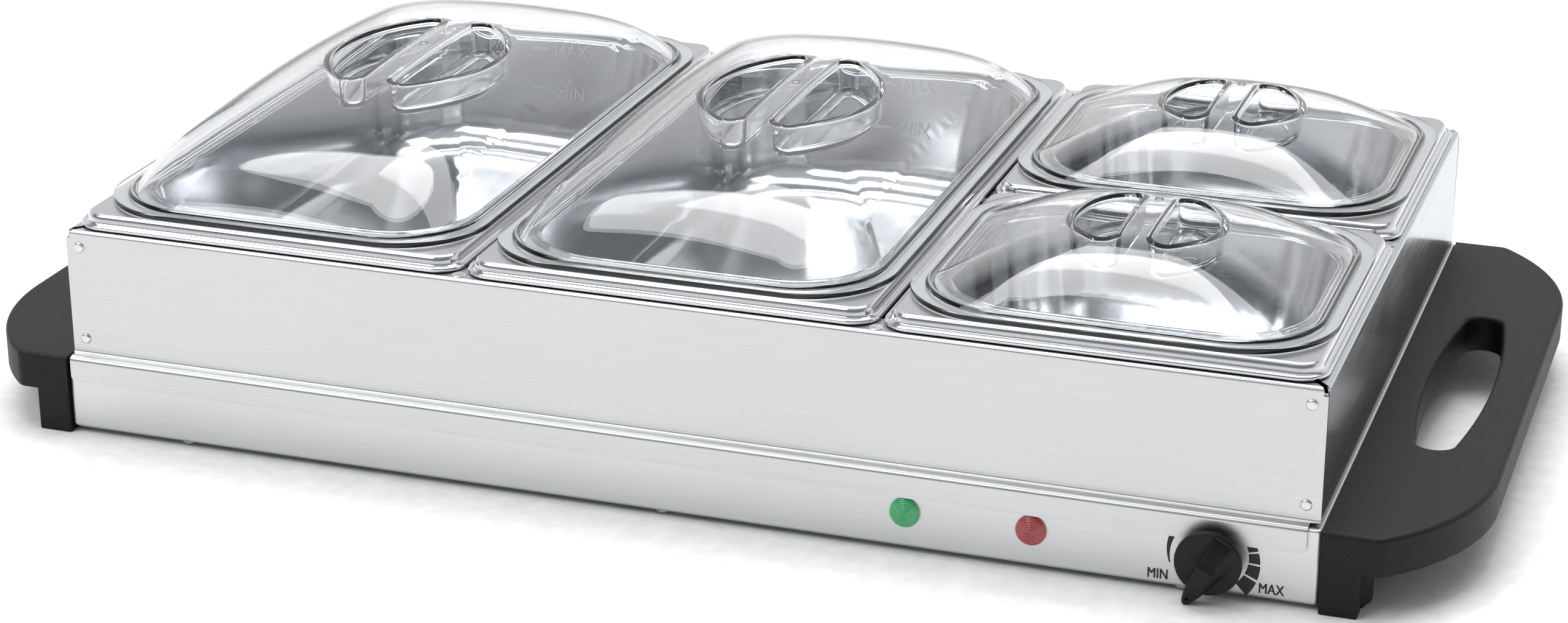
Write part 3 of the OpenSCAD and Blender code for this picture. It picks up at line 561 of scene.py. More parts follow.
class Shell:
    """Points and faces of one closed piece, in millimetres."""

    def __init__(self) -> None:
        """Starts an empty piece."""
        self.points: list[Point3] = []
        self.faces: list[tuple[int, ...]] = []

    def add(self, points: Iterable[Sequence[float]]) -> list[int]:
        """Adds points and returns their numbers."""
        start = len(self.points)
        self.points += [(float(p[0]), float(p[1]), float(p[2])) for p in points]
        return list(range(start, len(self.points)))

    def ring(
        self, outline: Iterable[Point2], z: float | Callable[[float, float], float]
    ) -> list[int]:
        """Adds an outline at a height.

        Args:
            outline: Points seen from above.
            z: The height, or a function that gives it at a point.

        Returns:
            Numbers of the points.
        """
        return self.add((x, y, z(x, y) if callable(z) else z) for x, y in outline)

    def bridge(self, a: Sequence[int], b: Sequence[int], closed: bool = True) -> None:
        """Joins two rows of as many points with quads.

        Args:
            a: The first row.
            b: The second row.
            closed: Whether the rows are rings.
        """
        count = len(a)
        for i in range(count if closed else count - 1):
            j = (i + 1) % count
            self.faces.append((a[i], a[j], b[j], b[i]))

    def stack(self, rings: Sequence[Sequence[int]]) -> None:
        """Joins each ring with the next."""
        for a, b in zip(rings, rings[1:]):
            self.bridge(a, b)

    def cap(self, ring: Sequence[int]) -> None:
        """Closes a ring with one flat face."""
        self.faces.append(tuple(ring))

    def block(self, rings: Sequence[Sequence[int]]) -> None:
        """Joins each ring with the next and closes both ends."""
        self.stack(rings)
        self.cap(rings[0])
        self.cap(rings[-1])

    def fill(
        self, outer: Sequence[int], holes: Sequence[Sequence[int]], within: Sequence[int] = ()
    ) -> None:
        """Fills the face between a convex ring and its holes with triangles.

        Args:
            outer: The ring round the face.
            holes: The rings inside it that stay open.
            within: Points inside the face that the triangles use.
        """
        ids: list[int] = []
        edges: list[tuple[int, int]] = []
        for ring in (outer, *holes):
            start, count = len(ids), len(ring)
            ids += ring
            edges += [(start + i, start + (i + 1) % count) for i in range(count)]
        ids += within
        flat = [Vector(self.points[i][:2]) for i in ids]
        gaps = [[self.points[i][:2] for i in hole] for hole in holes]
        _, _, faces, origin, _, _ = delaunay_2d_cdt(flat, edges, [], 0, 1e-6)
        for face in faces:
            corners = [origin[v][0] for v in face]
            x, y = (sum(flat[c][k] for c in corners) / len(corners) for k in (0, 1))
            if not any(inside(x, y, gap) for gap in gaps):
                self.faces.append(tuple(ids[c] for c in corners))

    def lathe(self, profile: Sequence[Point2], place: Matrix, steps: int = 48) -> None:
        """Turns a profile round the Z axis of a place.

        Args:
            profile: Radius and height of each point, both ends on the axis.
            place: Matrix from the turning frame to the piece, in millimetres.
            steps: Steps round the axis.
        """
        rings = []
        turn = [2 * math.pi * i / steps for i in range(steps)]
        for radius, z in profile[1:-1]:
            circle = [(radius * math.cos(a), radius * math.sin(a), z) for a in turn]
            rings.append(self.add(place @ Vector(point) for point in circle))
        self.stack(rings)
        for ring, (_, z) in ((rings[0], profile[0]), (rings[-1], profile[-1])):
            tip = self.add([place @ Vector((0, 0, z))])[0]
            for i in range(steps):
                self.faces.append((ring[i], ring[(i + 1) % steps], tip))

    def tube(self, profile: Sequence[Point2], place: Matrix, steps: int = 48) -> None:
        """Turns a closed profile, clear of the axis, round the Z axis of a place.

        Args:
            profile: Radius and height of each point of the section.
            place: Matrix from the turning frame to the piece, in millimetres.
            steps: Steps round the axis.
        """
        rings = []
        turn = [2 * math.pi * i / steps for i in range(steps)]
        for radius, z in profile:
            circle = [(radius * math.cos(a), radius * math.sin(a), z) for a in turn]
            rings.append(self.add(place @ Vector(point) for point in circle))
        self.stack(rings + [rings[0]])

    def mesh(self, name: str) -> bpy.types.Mesh:
        """The points and faces as a mesh, in metres."""
        mesh = bpy.data.meshes.new(name)
        mesh.from_pydata([tuple(c * MM for c in p) for p in self.points], [], self.faces)
        return mesh

    def solid(self, name: str, finish: Finish, angle: float = CRISP) -> bpy.types.Object:
        """Makes the piece, with its faces outwards and its bends smooth.

        Args:
            name: Name of the piece.
            finish: Its finish.
            angle: Edges sharper than this many degrees stay crisp.

        Returns:
            The finished object.
        """
        return dress(self.mesh(name), name, finish, angle)


def dress(
    mesh: bpy.types.Mesh, name: str, finish: Finish, angle: float = CRISP, outwards: bool = True
) -> bpy.types.Object:
    """Cleans a mesh and makes it a shaded piece.

    Args:
        mesh: The mesh, in metres.
        name: Name of the piece.
        finish: Its finish.
        angle: Edges sharper than this many degrees stay crisp.
        outwards: Whether to turn the faces outwards.

    Returns:
        The finished object.
    """
    work = bmesh.new()
    work.from_mesh(mesh)
    bmesh.ops.remove_doubles(work, verts=work.verts, dist=2e-6)
    bmesh.ops.dissolve_degenerate(work, edges=work.edges, dist=1e-6)
    if outwards:
        bmesh.ops.recalc_face_normals(work, faces=work.faces)
    work.to_mesh(mesh)
    work.free()
    mesh.materials.clear()
    mesh.materials.append(finish.material())
    piece = placed(name, mesh)
    return shaded(piece, angle)


def shaded(piece: bpy.types.Object, angle: float) -> bpy.types.Object:
    """Smooths a piece's bends, keeps its edges crisp and its flats flat.

    Args:
        piece: The object.
        angle: Edges sharper than this many degrees stay crisp.

    Returns:
        The piece.
    """
    work = bmesh.new()
    work.from_mesh(piece.data)
    limit = math.radians(angle)
    for face in work.faces:
        face.smooth = True
    for edge in work.edges:
        edge.smooth = len(edge.link_faces) == 2 and edge.calc_face_angle(0.0) < limit
    work.to_mesh(piece.data)
    work.free()
    weigh = piece.modifiers.new("weigh", "WEIGHTED_NORMAL")
    weigh.keep_sharp = True
    return baked(piece)


def baked(piece: bpy.types.Object) -> bpy.types.Object:
    """Applies a piece's modifiers.

    Args:
        piece: The object.

    Returns:
        The same object, with a plain mesh.
    """
    graph = bpy.context.evaluated_depsgraph_get()
    mesh = bpy.data.meshes.new_from_object(piece.evaluated_get(graph), depsgraph=graph)
    piece.modifiers.clear()
    old, piece.data = piece.data, mesh
    mesh.name = piece.name
    bpy.data.meshes.remove(old)
    return piece


def carved(
    piece: bpy.types.Object, cutters: Sequence[bpy.types.Object], angle: float = CRISP
) -> bpy.types.Object:
    """Cuts holes in a piece and removes the cutters.

    Args:
        piece: The object.
        cutters: Solids of the holes.
        angle: Edges sharper than this many degrees stay crisp.

    Returns:
        The piece.
    """
    for cutter in cutters:
        cut = piece.modifiers.new("cut", "BOOLEAN")
        cut.operation, cut.solver, cut.object = "DIFFERENCE", "EXACT", cutter
    baked(piece)
    for cutter in cutters:
        bpy.data.objects.remove(cutter)
    return shaded(piece, angle)


def lettering(words: str, height: float, depth: float, place: Matrix) -> bpy.types.Mesh:
    """Makes raised or printed letters as a mesh.

    Args:
        words: The letters.
        height: Height of a capital in millimetres.
        depth: Their thickness in millimetres.
        place: Matrix from the text's plane to the piece, in millimetres.

    Returns:
        The mesh, in metres.
    """
    curve = bpy.data.curves.new("letters", "FONT")
    curve.body = words
    curve.size = height / 0.69
    curve.align_x = "CENTER"
    curve.align_y = "BOTTOM_BASELINE"
    curve.extrude = depth / 2
    curve.space_character = 1.04
    curve.resolution_u = 6
    text = placed("letters", curve)
    graph = bpy.context.evaluated_depsgraph_get()
    mesh = bpy.data.meshes.new_from_object(text.evaluated_get(graph), depsgraph=graph)
    mesh.transform(Matrix.Scale(MM, 4) @ place)
    bpy.data.objects.remove(text)
    bpy.data.curves.remove(curve)
    return mesh


def merged(meshes: Sequence[bpy.types.Mesh], name: str) -> bpy.types.Mesh:
    """Joins meshes into one.

    Args:
        meshes: The meshes, which are removed.
        name: Name of the result.

    Returns:
        The joined mesh.
    """
    work = bmesh.new()
    for mesh in meshes:
        work.from_mesh(mesh)
        bpy.data.meshes.remove(mesh)
    result = bpy.data.meshes.new(name)
    work.to_mesh(result)
    work.free()
    return result


def bend_path(path: Sequence[Point2], radii: Sequence[float], steps: int = 6) -> list[np.ndarray]:
    """Rounds the inner corners of a path.

    Args:
        path: Corners of the path.
        radii: Radius of each inner corner.
        steps: Steps in each bend.

    Returns:
        Points of the bent path.
    """
    corners = [np.array(p, float) for p in path]
    points = [corners[0]]
    for i, radius in enumerate(radii, start=1):
        before, here, after = corners[i - 1], corners[i], corners[i + 1]
        u = (before - here) / np.linalg.norm(before - here)
        v = (after - here) / np.linalg.norm(after - here)
        half = math.acos(float(np.clip(u @ v, -1, 1))) / 2
        run = radius / math.tan(half)
        middle = here + (u + v) / np.linalg.norm(u + v) * radius / math.sin(half)
        p, q = here + u * run - middle, here + v * run - middle
        turn = math.pi - 2 * half
        for k in range(steps + 1):
            t = k / steps
            points.append(
                middle + (math.sin(turn * (1 - t)) * p + math.sin(turn * t) * q) / math.sin(turn)
            )
    points.append(corners[-1])
    return points


def sheet_sides(mid: Sequence[np.ndarray], thickness: float) -> tuple[list, list]:
    """The two faces of a bent sheet, as paths.

    Args:
        mid: Path along the middle of the sheet.
        thickness: Thickness of the sheet.

    Returns:
        The path on the left of the middle, and the one on the right.
    """
    left, right = [], []
    for i, point in enumerate(mid):
        d = mid[min(i + 1, len(mid) - 1)] - mid[max(i - 1, 0)]
        d = d / np.linalg.norm(d)
        n = np.array([-d[1], d[0]]) * thickness / 2
        left.append(point + n)
        right.append(point - n)
    return left, right


def folded_sheet(
    mid: Sequence[np.ndarray],
    thickness: float,
    ends: Callable[[np.ndarray, int], float],
    place: Callable[[float, np.ndarray], Point3],
) -> Shell:
    """A folded sheet-metal panel.

    Args:
        mid: Section path along the middle of the sheet.
        thickness: Thickness of the sheet.
        ends: Gives where the sheet ends along its length, for a point of the
            section and an end of -1 or 1.
        place: Turns a length position and a section point into a point.

    Returns:
        The panel as a closed shell.
    """
    shell = Shell()
    left, right = sheet_sides(mid, thickness)
    rows = []
    for end in (-1, 1):
        rows.append([shell.add([place(ends(m, end), p)])[0] for m, p in zip(mid, left)])
        rows.append([shell.add([place(ends(m, end), p)])[0] for m, p in zip(mid, right)])
    a_left, a_right, b_left, b_right = rows
    shell.bridge(a_left, b_left, closed=False)
    shell.bridge(b_right, a_right, closed=False)
    shell.bridge(a_right, a_left, closed=False)
    shell.bridge(b_left, b_right, closed=False)
    for k in (0, -1):
        shell.faces.append((a_left[k], a_right[k], b_right[k], b_left[k]))
    return shell


def facing(point: Point3, direction: Point3) -> Matrix:
    """A place at a point whose Z looks along a direction, in millimetres."""
    turn = Vector(direction).to_track_quat("Z", "Y").to_matrix().to_4x4()
    return Matrix.Translation(point) @ turn


def box_mm(node: str) -> tuple[np.ndarray, np.ndarray]:
    """Low and high corner of a CAD node's box, in millimetres."""
    low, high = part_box(node)
    return np.array(low) / MM, np.array(high) / MM


def repaint(node: str, finish: Finish) -> None:
    """Puts a finish on a CAD node that keeps its shape."""
    piece = bpy.data.objects[node] if node in bpy.data.objects else NODES[node]
    piece.data.materials.clear()
    piece.data.materials.append(finish.material())


# ------------------------------------------------------------------ repeated fasteners


@dataclass
class Fasteners:
    """Rivets or screws of one kind, set on points by Geometry Nodes."""

    name: str
    finish: Finish
    body: str
    node: str
    profile: tuple[Point2, ...]
    steps: int = 32
    recess: float = 0.0
    seed: int = 7

    def head(self) -> bpy.types.Object:
        """One fastener, its neck at the origin and its head up, in metres."""
        shell = Shell()
        shell.lathe(self.profile, Matrix.Identity(4), self.steps)
        head = shell.solid(f"{self.name}_head", self.finish)
        if self.recess:
            cutters = []
            top = max(z for _, z in self.profile)
            for turn in (0, 90):
                slot = Shell()
                box = rounded_rect(self.recess, self.recess * 0.22, self.recess * 0.1, 2, 1)
                slot.block([slot.ring(box, top - self.recess * 0.6), slot.ring(box, top + 1)])
                cutter = slot.solid("slot", self.finish)
                cutter.data.transform(Matrix.Rotation(math.radians(turn), 4, "Z"))
                cutters.append(cutter)
            carved(head, cutters)
        return head

    def tree(self, head: bpy.types.Object) -> bpy.types.GeometryNodeTree:
        """The node tree that sets a head on each point, along its axis.

        Args:
            head: Not used; the fastener reaches the tree through its Head input.

        Returns:
            The tree.
        """
        tree = bpy.data.node_groups.new(self.name, "GeometryNodeTree")
        face = tree.interface
        face.new_socket("Geometry", in_out="INPUT", socket_type="NodeSocketGeometry")
        face.new_socket("Geometry", in_out="OUTPUT", socket_type="NodeSocketGeometry")
        face.new_socket("Head", in_out="INPUT", socket_type="NodeSocketObject")
        size = face.new_socket("Size", in_out="INPUT", socket_type="NodeSocketFloat")
        size.default_value = 1.0
        spin = face.new_socket("Spin seed", in_out="INPUT", socket_type="NodeSocketInt")
        spin.default_value = self.seed
        source = add_node(tree, "NodeGroupInput")
        axis = add_node(
            tree, "GeometryNodeInputNamedAttribute", {"Name": "axis"}, data_type="FLOAT_VECTOR"
        )
        shape = add_node(tree, "GeometryNodeObjectInfo", links={"Object": source.outputs["Head"]})
        lean = add_node(
            tree,
            "FunctionNodeAlignRotationToVector",
            links={"Vector": axis.outputs["Attribute"]},
            axis="Z",
        )
        angle = add_node(
            tree,
            "FunctionNodeRandomValue",
            {2: 0.0, 3: math.tau},
            {"Seed": source.outputs["Spin seed"]},
            data_type="FLOAT",
        )
        about = add_node(tree, "ShaderNodeCombineXYZ", links={"Z": angle.outputs[1]})
        twist = add_node(
            tree,
            "FunctionNodeRotateRotation",
            links={"Rotation": lean.outputs["Rotation"], "Rotate By": about.outputs["Vector"]},
            rotation_space="LOCAL",
        )
        spread = add_node(
            tree,
            "GeometryNodeInstanceOnPoints",
            links={
                "Points": source.outputs["Geometry"],
                "Instance": shape.outputs["Geometry"],
                "Rotation": twist.outputs["Rotation"],
                "Scale": source.outputs["Size"],
            },
        )
        real = add_node(
            tree, "GeometryNodeRealizeInstances", links={"Geometry": spread.outputs["Instances"]}
        )
        paint = add_node(
            tree,
            "GeometryNodeSetMaterial",
            {"Material": self.finish.material()},
            {"Geometry": real.outputs["Geometry"]},
        )
        add_node(tree, "NodeGroupOutput", links={"Geometry": paint.outputs["Geometry"]})
        return tree

    def build(self, places: Sequence[tuple[Point3, Point3]]) -> bpy.types.Object:
        """Sets the fasteners and replaces their node.

        Args:
            places: Neck and axis of each fastener, in millimetres.

        Returns:
            The piece with all of them.
        """
        mesh = bpy.data.meshes.new(self.name)
        mesh.from_pydata([tuple(c * MM for c in p) for p, _ in places], [], [])
        axes = mesh.attributes.new("axis", "FLOAT_VECTOR", "POINT")
        axes.data.foreach_set("vector", [c for _, a in places for c in a])
        piece = placed(self.name, mesh)
        head = self.head()
        tree = self.tree(head)
        sockets = {s.name: s.identifier for s in tree.interface.items_tree if s.in_out == "INPUT"}
        work = piece.modifiers.new("fasteners", "NODES")
        work.node_group = tree
        work[sockets["Head"]] = head
        work[sockets["Size"]] = 1.0
        work[sockets["Spin seed"]] = self.seed
        baked(piece)
        bpy.data.objects.remove(head)
        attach(piece, self.body)
        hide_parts(self.node)
        return piece


# ------------------------------------------------------------------ base


@dataclass
class WarmingBase:
    """Sheet-steel housing whose top is the warming plate, with its print."""

    thickness: float = 0.6
    lip: float = 10.0
    corner_r: float = 2.2
    edge_r: float = 1.4
    knob_axis: Point2 = (225.0, 17.5)
    lamp_xs: tuple[float, float] = (103.0, 154.0)
    gland_x: float = 226.5
    gland_z: float = 16.2
    lamp_bore_r: float = 5.1
    shaft_bore_r: float = 4.0
    gland_bore_r: float = 5.55
    # the words of the dial: height of a capital, its narrowing, foot and middles
    letter_h: float = 4.2
    letter_width: float = 0.74
    letter_z: float = 4.9
    letter_xs: tuple[float, float] = (204.4, 248.4)
    # each word is printed twice, this far to either side, for a bolder stroke
    bold: float = 0.14
    ink: float = 0.06

    def __post_init__(self) -> None:
        """Reads the housing's box from the frame."""
        low, high = box_mm("base_shell")
        self.half_w, self.half_d, self.top = high
        self.bottom = low[2]

    def outline(self, inset: float) -> list[Point2]:
        """Outline of the housing, moved inwards by inset."""
        radius = max(self.corner_r - inset, 0.4)
        return rounded_rect(self.half_w - inset, self.half_d - inset, radius, 6, 1)

    def housing(self) -> bpy.types.Object:
        """The housing: top, four walls and the lip under them, with its holes."""
        shell = Shell()
        r, t = self.edge_r, self.thickness
        faces = []
        for back, bend in ((0.0, r), (t, r - t)):
            rings = [shell.ring(self.outline(self.lip), self.bottom + back)]
            for u, v in reversed(QUARTER):
                rings.append(
                    shell.ring(self.outline(back + bend * u), self.bottom + back + bend * v)
                )
            for u, v in QUARTER:
                rings.append(shell.ring(self.outline(back + bend * u), self.top - back - bend * v))
            shell.stack(rings)
            faces.append(rings)
        outer, inner = faces
        shell.bridge(outer[0], inner[0])
        shell.cap(outer[-1])
        shell.cap(inner[-1])
        piece = shell.solid("housing", BASE_STEEL)
        x, z = self.knob_axis
        cutters = [self.drill(lamp, z, self.lamp_bore_r, Wall.FRONT) for lamp in self.lamp_xs]
        cutters.append(self.drill(x, z, self.shaft_bore_r, Wall.FRONT))
        cutters.append(self.drill(self.gland_x, self.gland_z, self.gland_bore_r, Wall.BACK))
        carved(piece, cutters)
        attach(piece, "base")
        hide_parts("base_shell")
        return piece

    def drill(self, x: float, z: float, radius: float, wall: Wall) -> bpy.types.Object:
        """A cutter for a round hole through the front or the back wall."""
        shell = Shell()
        place = facing((x, wall.value * (self.half_d - 3), z), (0, wall.value, 0))
        shell.lathe([(0, 0), (radius, 0), (radius, 6), (0, 6)], place, 40)
        return shell.solid("drill", BASE_STEEL)

    def band(self, start: float, end: float, inner: tuple, outer: tuple) -> bpy.types.Mesh:
        """One printed block of the dial.

        Args:
            start: Where it starts, in degrees clockwise from straight down.
            end: Where it ends.
            inner: Its inner radius at the start and the end.
            outer: Its outer radius at the start and the end.

        Returns:
            The mesh, in metres.
        """
        shell = Shell()
        steps = 10
        rows: list[list[int]] = [[], [], [], []]
        for i in range(steps + 1):
            t = i / steps
            turn = math.radians(start + (end - start) * t)
            radii = (inner[0] + (inner[1] - inner[0]) * t, outer[0] + (outer[1] - outer[0]) * t)
            for k, (radius, lift) in enumerate(
                ((radii[0], 0), (radii[1], 0), (radii[1], self.ink), (radii[0], self.ink))
            ):
                x = self.knob_axis[0] - radius * math.sin(turn)
                z = self.knob_axis[1] - radius * math.cos(turn)
                rows[k].append(shell.add([(x, -self.half_d - lift, z)])[0])
        for k in range(4):
            shell.bridge(rows[k], rows[(k + 1) % 4], closed=False)
        shell.cap([row[0] for row in rows])
        shell.cap([row[-1] for row in rows])
        return shell.mesh("band")

    def dial(self) -> bpy.types.Object:
        """The printed scale round the knob, which widens clockwise, and its two words."""
        # angles, inner radii and outer radii of each block
        blocks = [
            ((72, 118), (16.6, 15.5), (17.1, 18.0)),
            ((241, 256), (14.6, 14.5), (17.9, 18.4)),
            ((258.5, 273), (14.4, 14.3), (18.4, 18.8)),
            ((275.5, 293), (14.2, 14.0), (18.9, 19.4)),
            ((296, 316), (14.0, 13.8), (19.5, 20.2)),
        ]
        meshes = [self.band(*turn, inner, outer) for turn, inner, outer in blocks]
        narrow = Matrix.Diagonal((self.letter_width, 1.0, 1.0, 1.0))
        upright = Matrix.Rotation(math.radians(90), 4, "X")
        front = -self.half_d - self.ink / 2
        for word, x in zip(("MIN", "MAX"), self.letter_xs):
            for shift, depth in ((-self.bold, self.ink), (self.bold, self.ink + 0.01)):
                place = Matrix.Translation((x + shift, front, self.letter_z)) @ upright
                meshes.append(lettering(word, self.letter_h, depth, place @ narrow))
        piece = dress(merged(meshes, "dial_print"), "dial_print", INK)
        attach(piece, "base")
        return piece

    def lens(self, node: str, x: float, finish: Finish) -> bpy.types.Object:
        """A lamp lens with ring-shaped grooves on its face.

        Args:
            node: CAD node that it replaces.
            x: Where it sits.
            finish: Its colour.

        Returns:
            The piece.
        """
        rim, height, tail = 6.2, 1.8, 5.0
        profile = [(0, -tail), (4.7, -tail), (5.0, -tail + 0.3), (5.0, 0.0), (rim - 0.2, 0.0)]
        profile += [(rim, 0.25), (rim, 0.8), (rim - 0.25, 1.15), (rim - 0.7, 1.3)]
        grooves = 5
        step = (rim - 1.1) / grooves
        for k in range(grooves):
            outer = rim - 0.9 - k * step
            crown = height - 0.45 * (outer / rim) ** 2
            profile += [
                (outer, crown - 0.28),
                (outer - 0.25 * step, crown - 0.05),
                (outer - 0.5 * step, crown),
                (outer - 0.8 * step, crown - 0.08),
            ]
        profile += [(0.35, height - 0.25), (0, height - 0.1)]
        shell = Shell()
        place = facing((x, -self.half_d, self.knob_axis[1]), (0, -1, 0))
        shell.lathe(profile, place, 56)
        piece = shell.solid(f"{node}_grooved", finish, 40)
        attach(piece, "base")
        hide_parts(node)
        return piece

    def gland(self) -> bpy.types.Object:
        """The cord gland in the back wall, with a ribbed sleeve."""
        length = box_mm("cord_gland")[1][1] - self.half_d
        bore, root = 3.6, 5.2
        profile = [(bore, -5.6), (5.0, -5.6), (5.4, -5.2), (5.4, 0.05), (7.2, 0.05)]
        profile += [(7.5, 0.4), (7.5, 2.1), (7.1, 2.5), (root, 2.5)]
        ribs = 5
        pitch = (length - 3.0) / ribs
        for k in range(ribs):
            start = 2.6 + k * pitch
            radius = root + 0.25 - 0.12 * k
            profile += [
                (radius - 0.55, start + 0.1 * pitch),
                (radius, start + 0.25 * pitch),
                (radius, start + 0.7 * pitch),
                (radius - 0.55, start + 0.85 * pitch),
            ]
        profile += [(4.3, length - 0.1), (bore, length)]
        shell = Shell()
        shell.tube(profile, facing((self.gland_x, self.half_d, self.gland_z), (0, 1, 0)), 48)
        piece = shell.solid("gland_sleeve", HANDLE_PLASTIC, 40)
        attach(piece, "base")
        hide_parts("cord_gland")
        return piece

    def feet(self) -> list[bpy.types.Object]:
        """The four turned rubber feet."""
        made = []
        for corner in ("front_left", "front_right", "back_left", "back_right"):
            low, high = box_mm(f"foot_{corner}")
            centre = (low + high) / 2
            radius, height, top = (high[0] - low[0]) / 2, 2.5, high[2]
            profile = [(0, 0.35), (1.6, 0.3), (2.0, 0), (radius - 0.5, 0), (radius - 0.12, 0.18)]
            profile += [(radius, 0.55), (radius, height - 0.3), (radius - 0.3, height)]
            profile += [(2.6, height), (2.6, top - 0.5), (2.1, top), (0, top)]
            shell = Shell()
            shell.lathe(profile, Matrix.Translation((centre[0], centre[1], 0)), 40)
            piece = shell.solid(f"rubber_foot_{corner}", FOOT_RUBBER)
            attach(piece, "base")
            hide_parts(f"foot_{corner}")
            made.append(piece)
        return made

    def inside(self) -> None:
        """Gives the parts inside the housing their finishes."""
        finishes = {
            GALVANISED: ("bottom_cover", "element_clips", "thermostat_bracket"),
            SCREW_STEEL: ("pad_posts", "thermostat_shaft"),
            IVORY: ("lamp_green", "lamp_red", "thermostat_body", "thermal_fuse", "terminal_block"),
            SHEATH: ("heating_element",),
            ALUMINIUM: ("heat_reflector",),
            CERAMIC: ("insulation_pad",),
            LEAD: ("internal_leads",),
            BRASS: ("earth_terminal", "knob_clip"),
        }
        for finish, nodes in finishes.items():
            for node in nodes:
                repaint(node, finish)

    def screws(self) -> None:
        """The screws of the bottom cover and of the handles."""
        head = ((0, -1.4), (2.2, -1.4), (2.9, -1.15), (3.2, -0.6), (3.2, 0), (1.6, 0))
        flipped = tuple((r, -z) for r, z in reversed(head[:-1]))
        shank = ((0, -3.9), (1.2, -3.9), (1.6, -3.4), (1.6, 0))
        low, high = box_mm("cover_screws")
        xs = (low[0] + 3.2, 0.0, high[0] - 3.2)
        ys = (low[1] + 3.2, high[1] - 3.2)
        neck = low[2] + 1.4
        Fasteners(
            "cover_screw_set", SCREW_STEEL, "base", "cover_screws", shank + flipped, 28, 1.7
        ).build([((x, y, neck), (0, 0, -1)) for x in xs for y in ys])
        low, high = box_mm("handle_screws")
        span = high[1] - 3.2
        z = (low[2] + high[2]) / 2
        reach = ((0, -8.9), (1.2, -8.9), (1.6, -8.4), (1.6, 0))
        Fasteners(
            "handle_screw_set", SCREW_STEEL, "base", "handle_screws", reach + flipped, 28, 1.7
        ).build(
            [
                ((s * (self.half_w - self.thickness), y, z), (-s, 0, 0))
                for s in (-1, 1)
                for y in (-span, 0.0, span)
            ]
        )

    def build(self) -> None:
        """Builds the base, its print, its lamps and its fasteners."""
        self.housing()
        self.dial()
        self.lens("lens_green", self.lamp_xs[0], GREEN_LENS)
        self.lens("lens_red", self.lamp_xs[1], RED_LENS)
        self.gland()
        self.feet()
        self.screws()
        self.inside()
        LOG.info("warming base: housing, dial print, lenses, gland, feet and screws")


# ------------------------------------------------------------------ handles


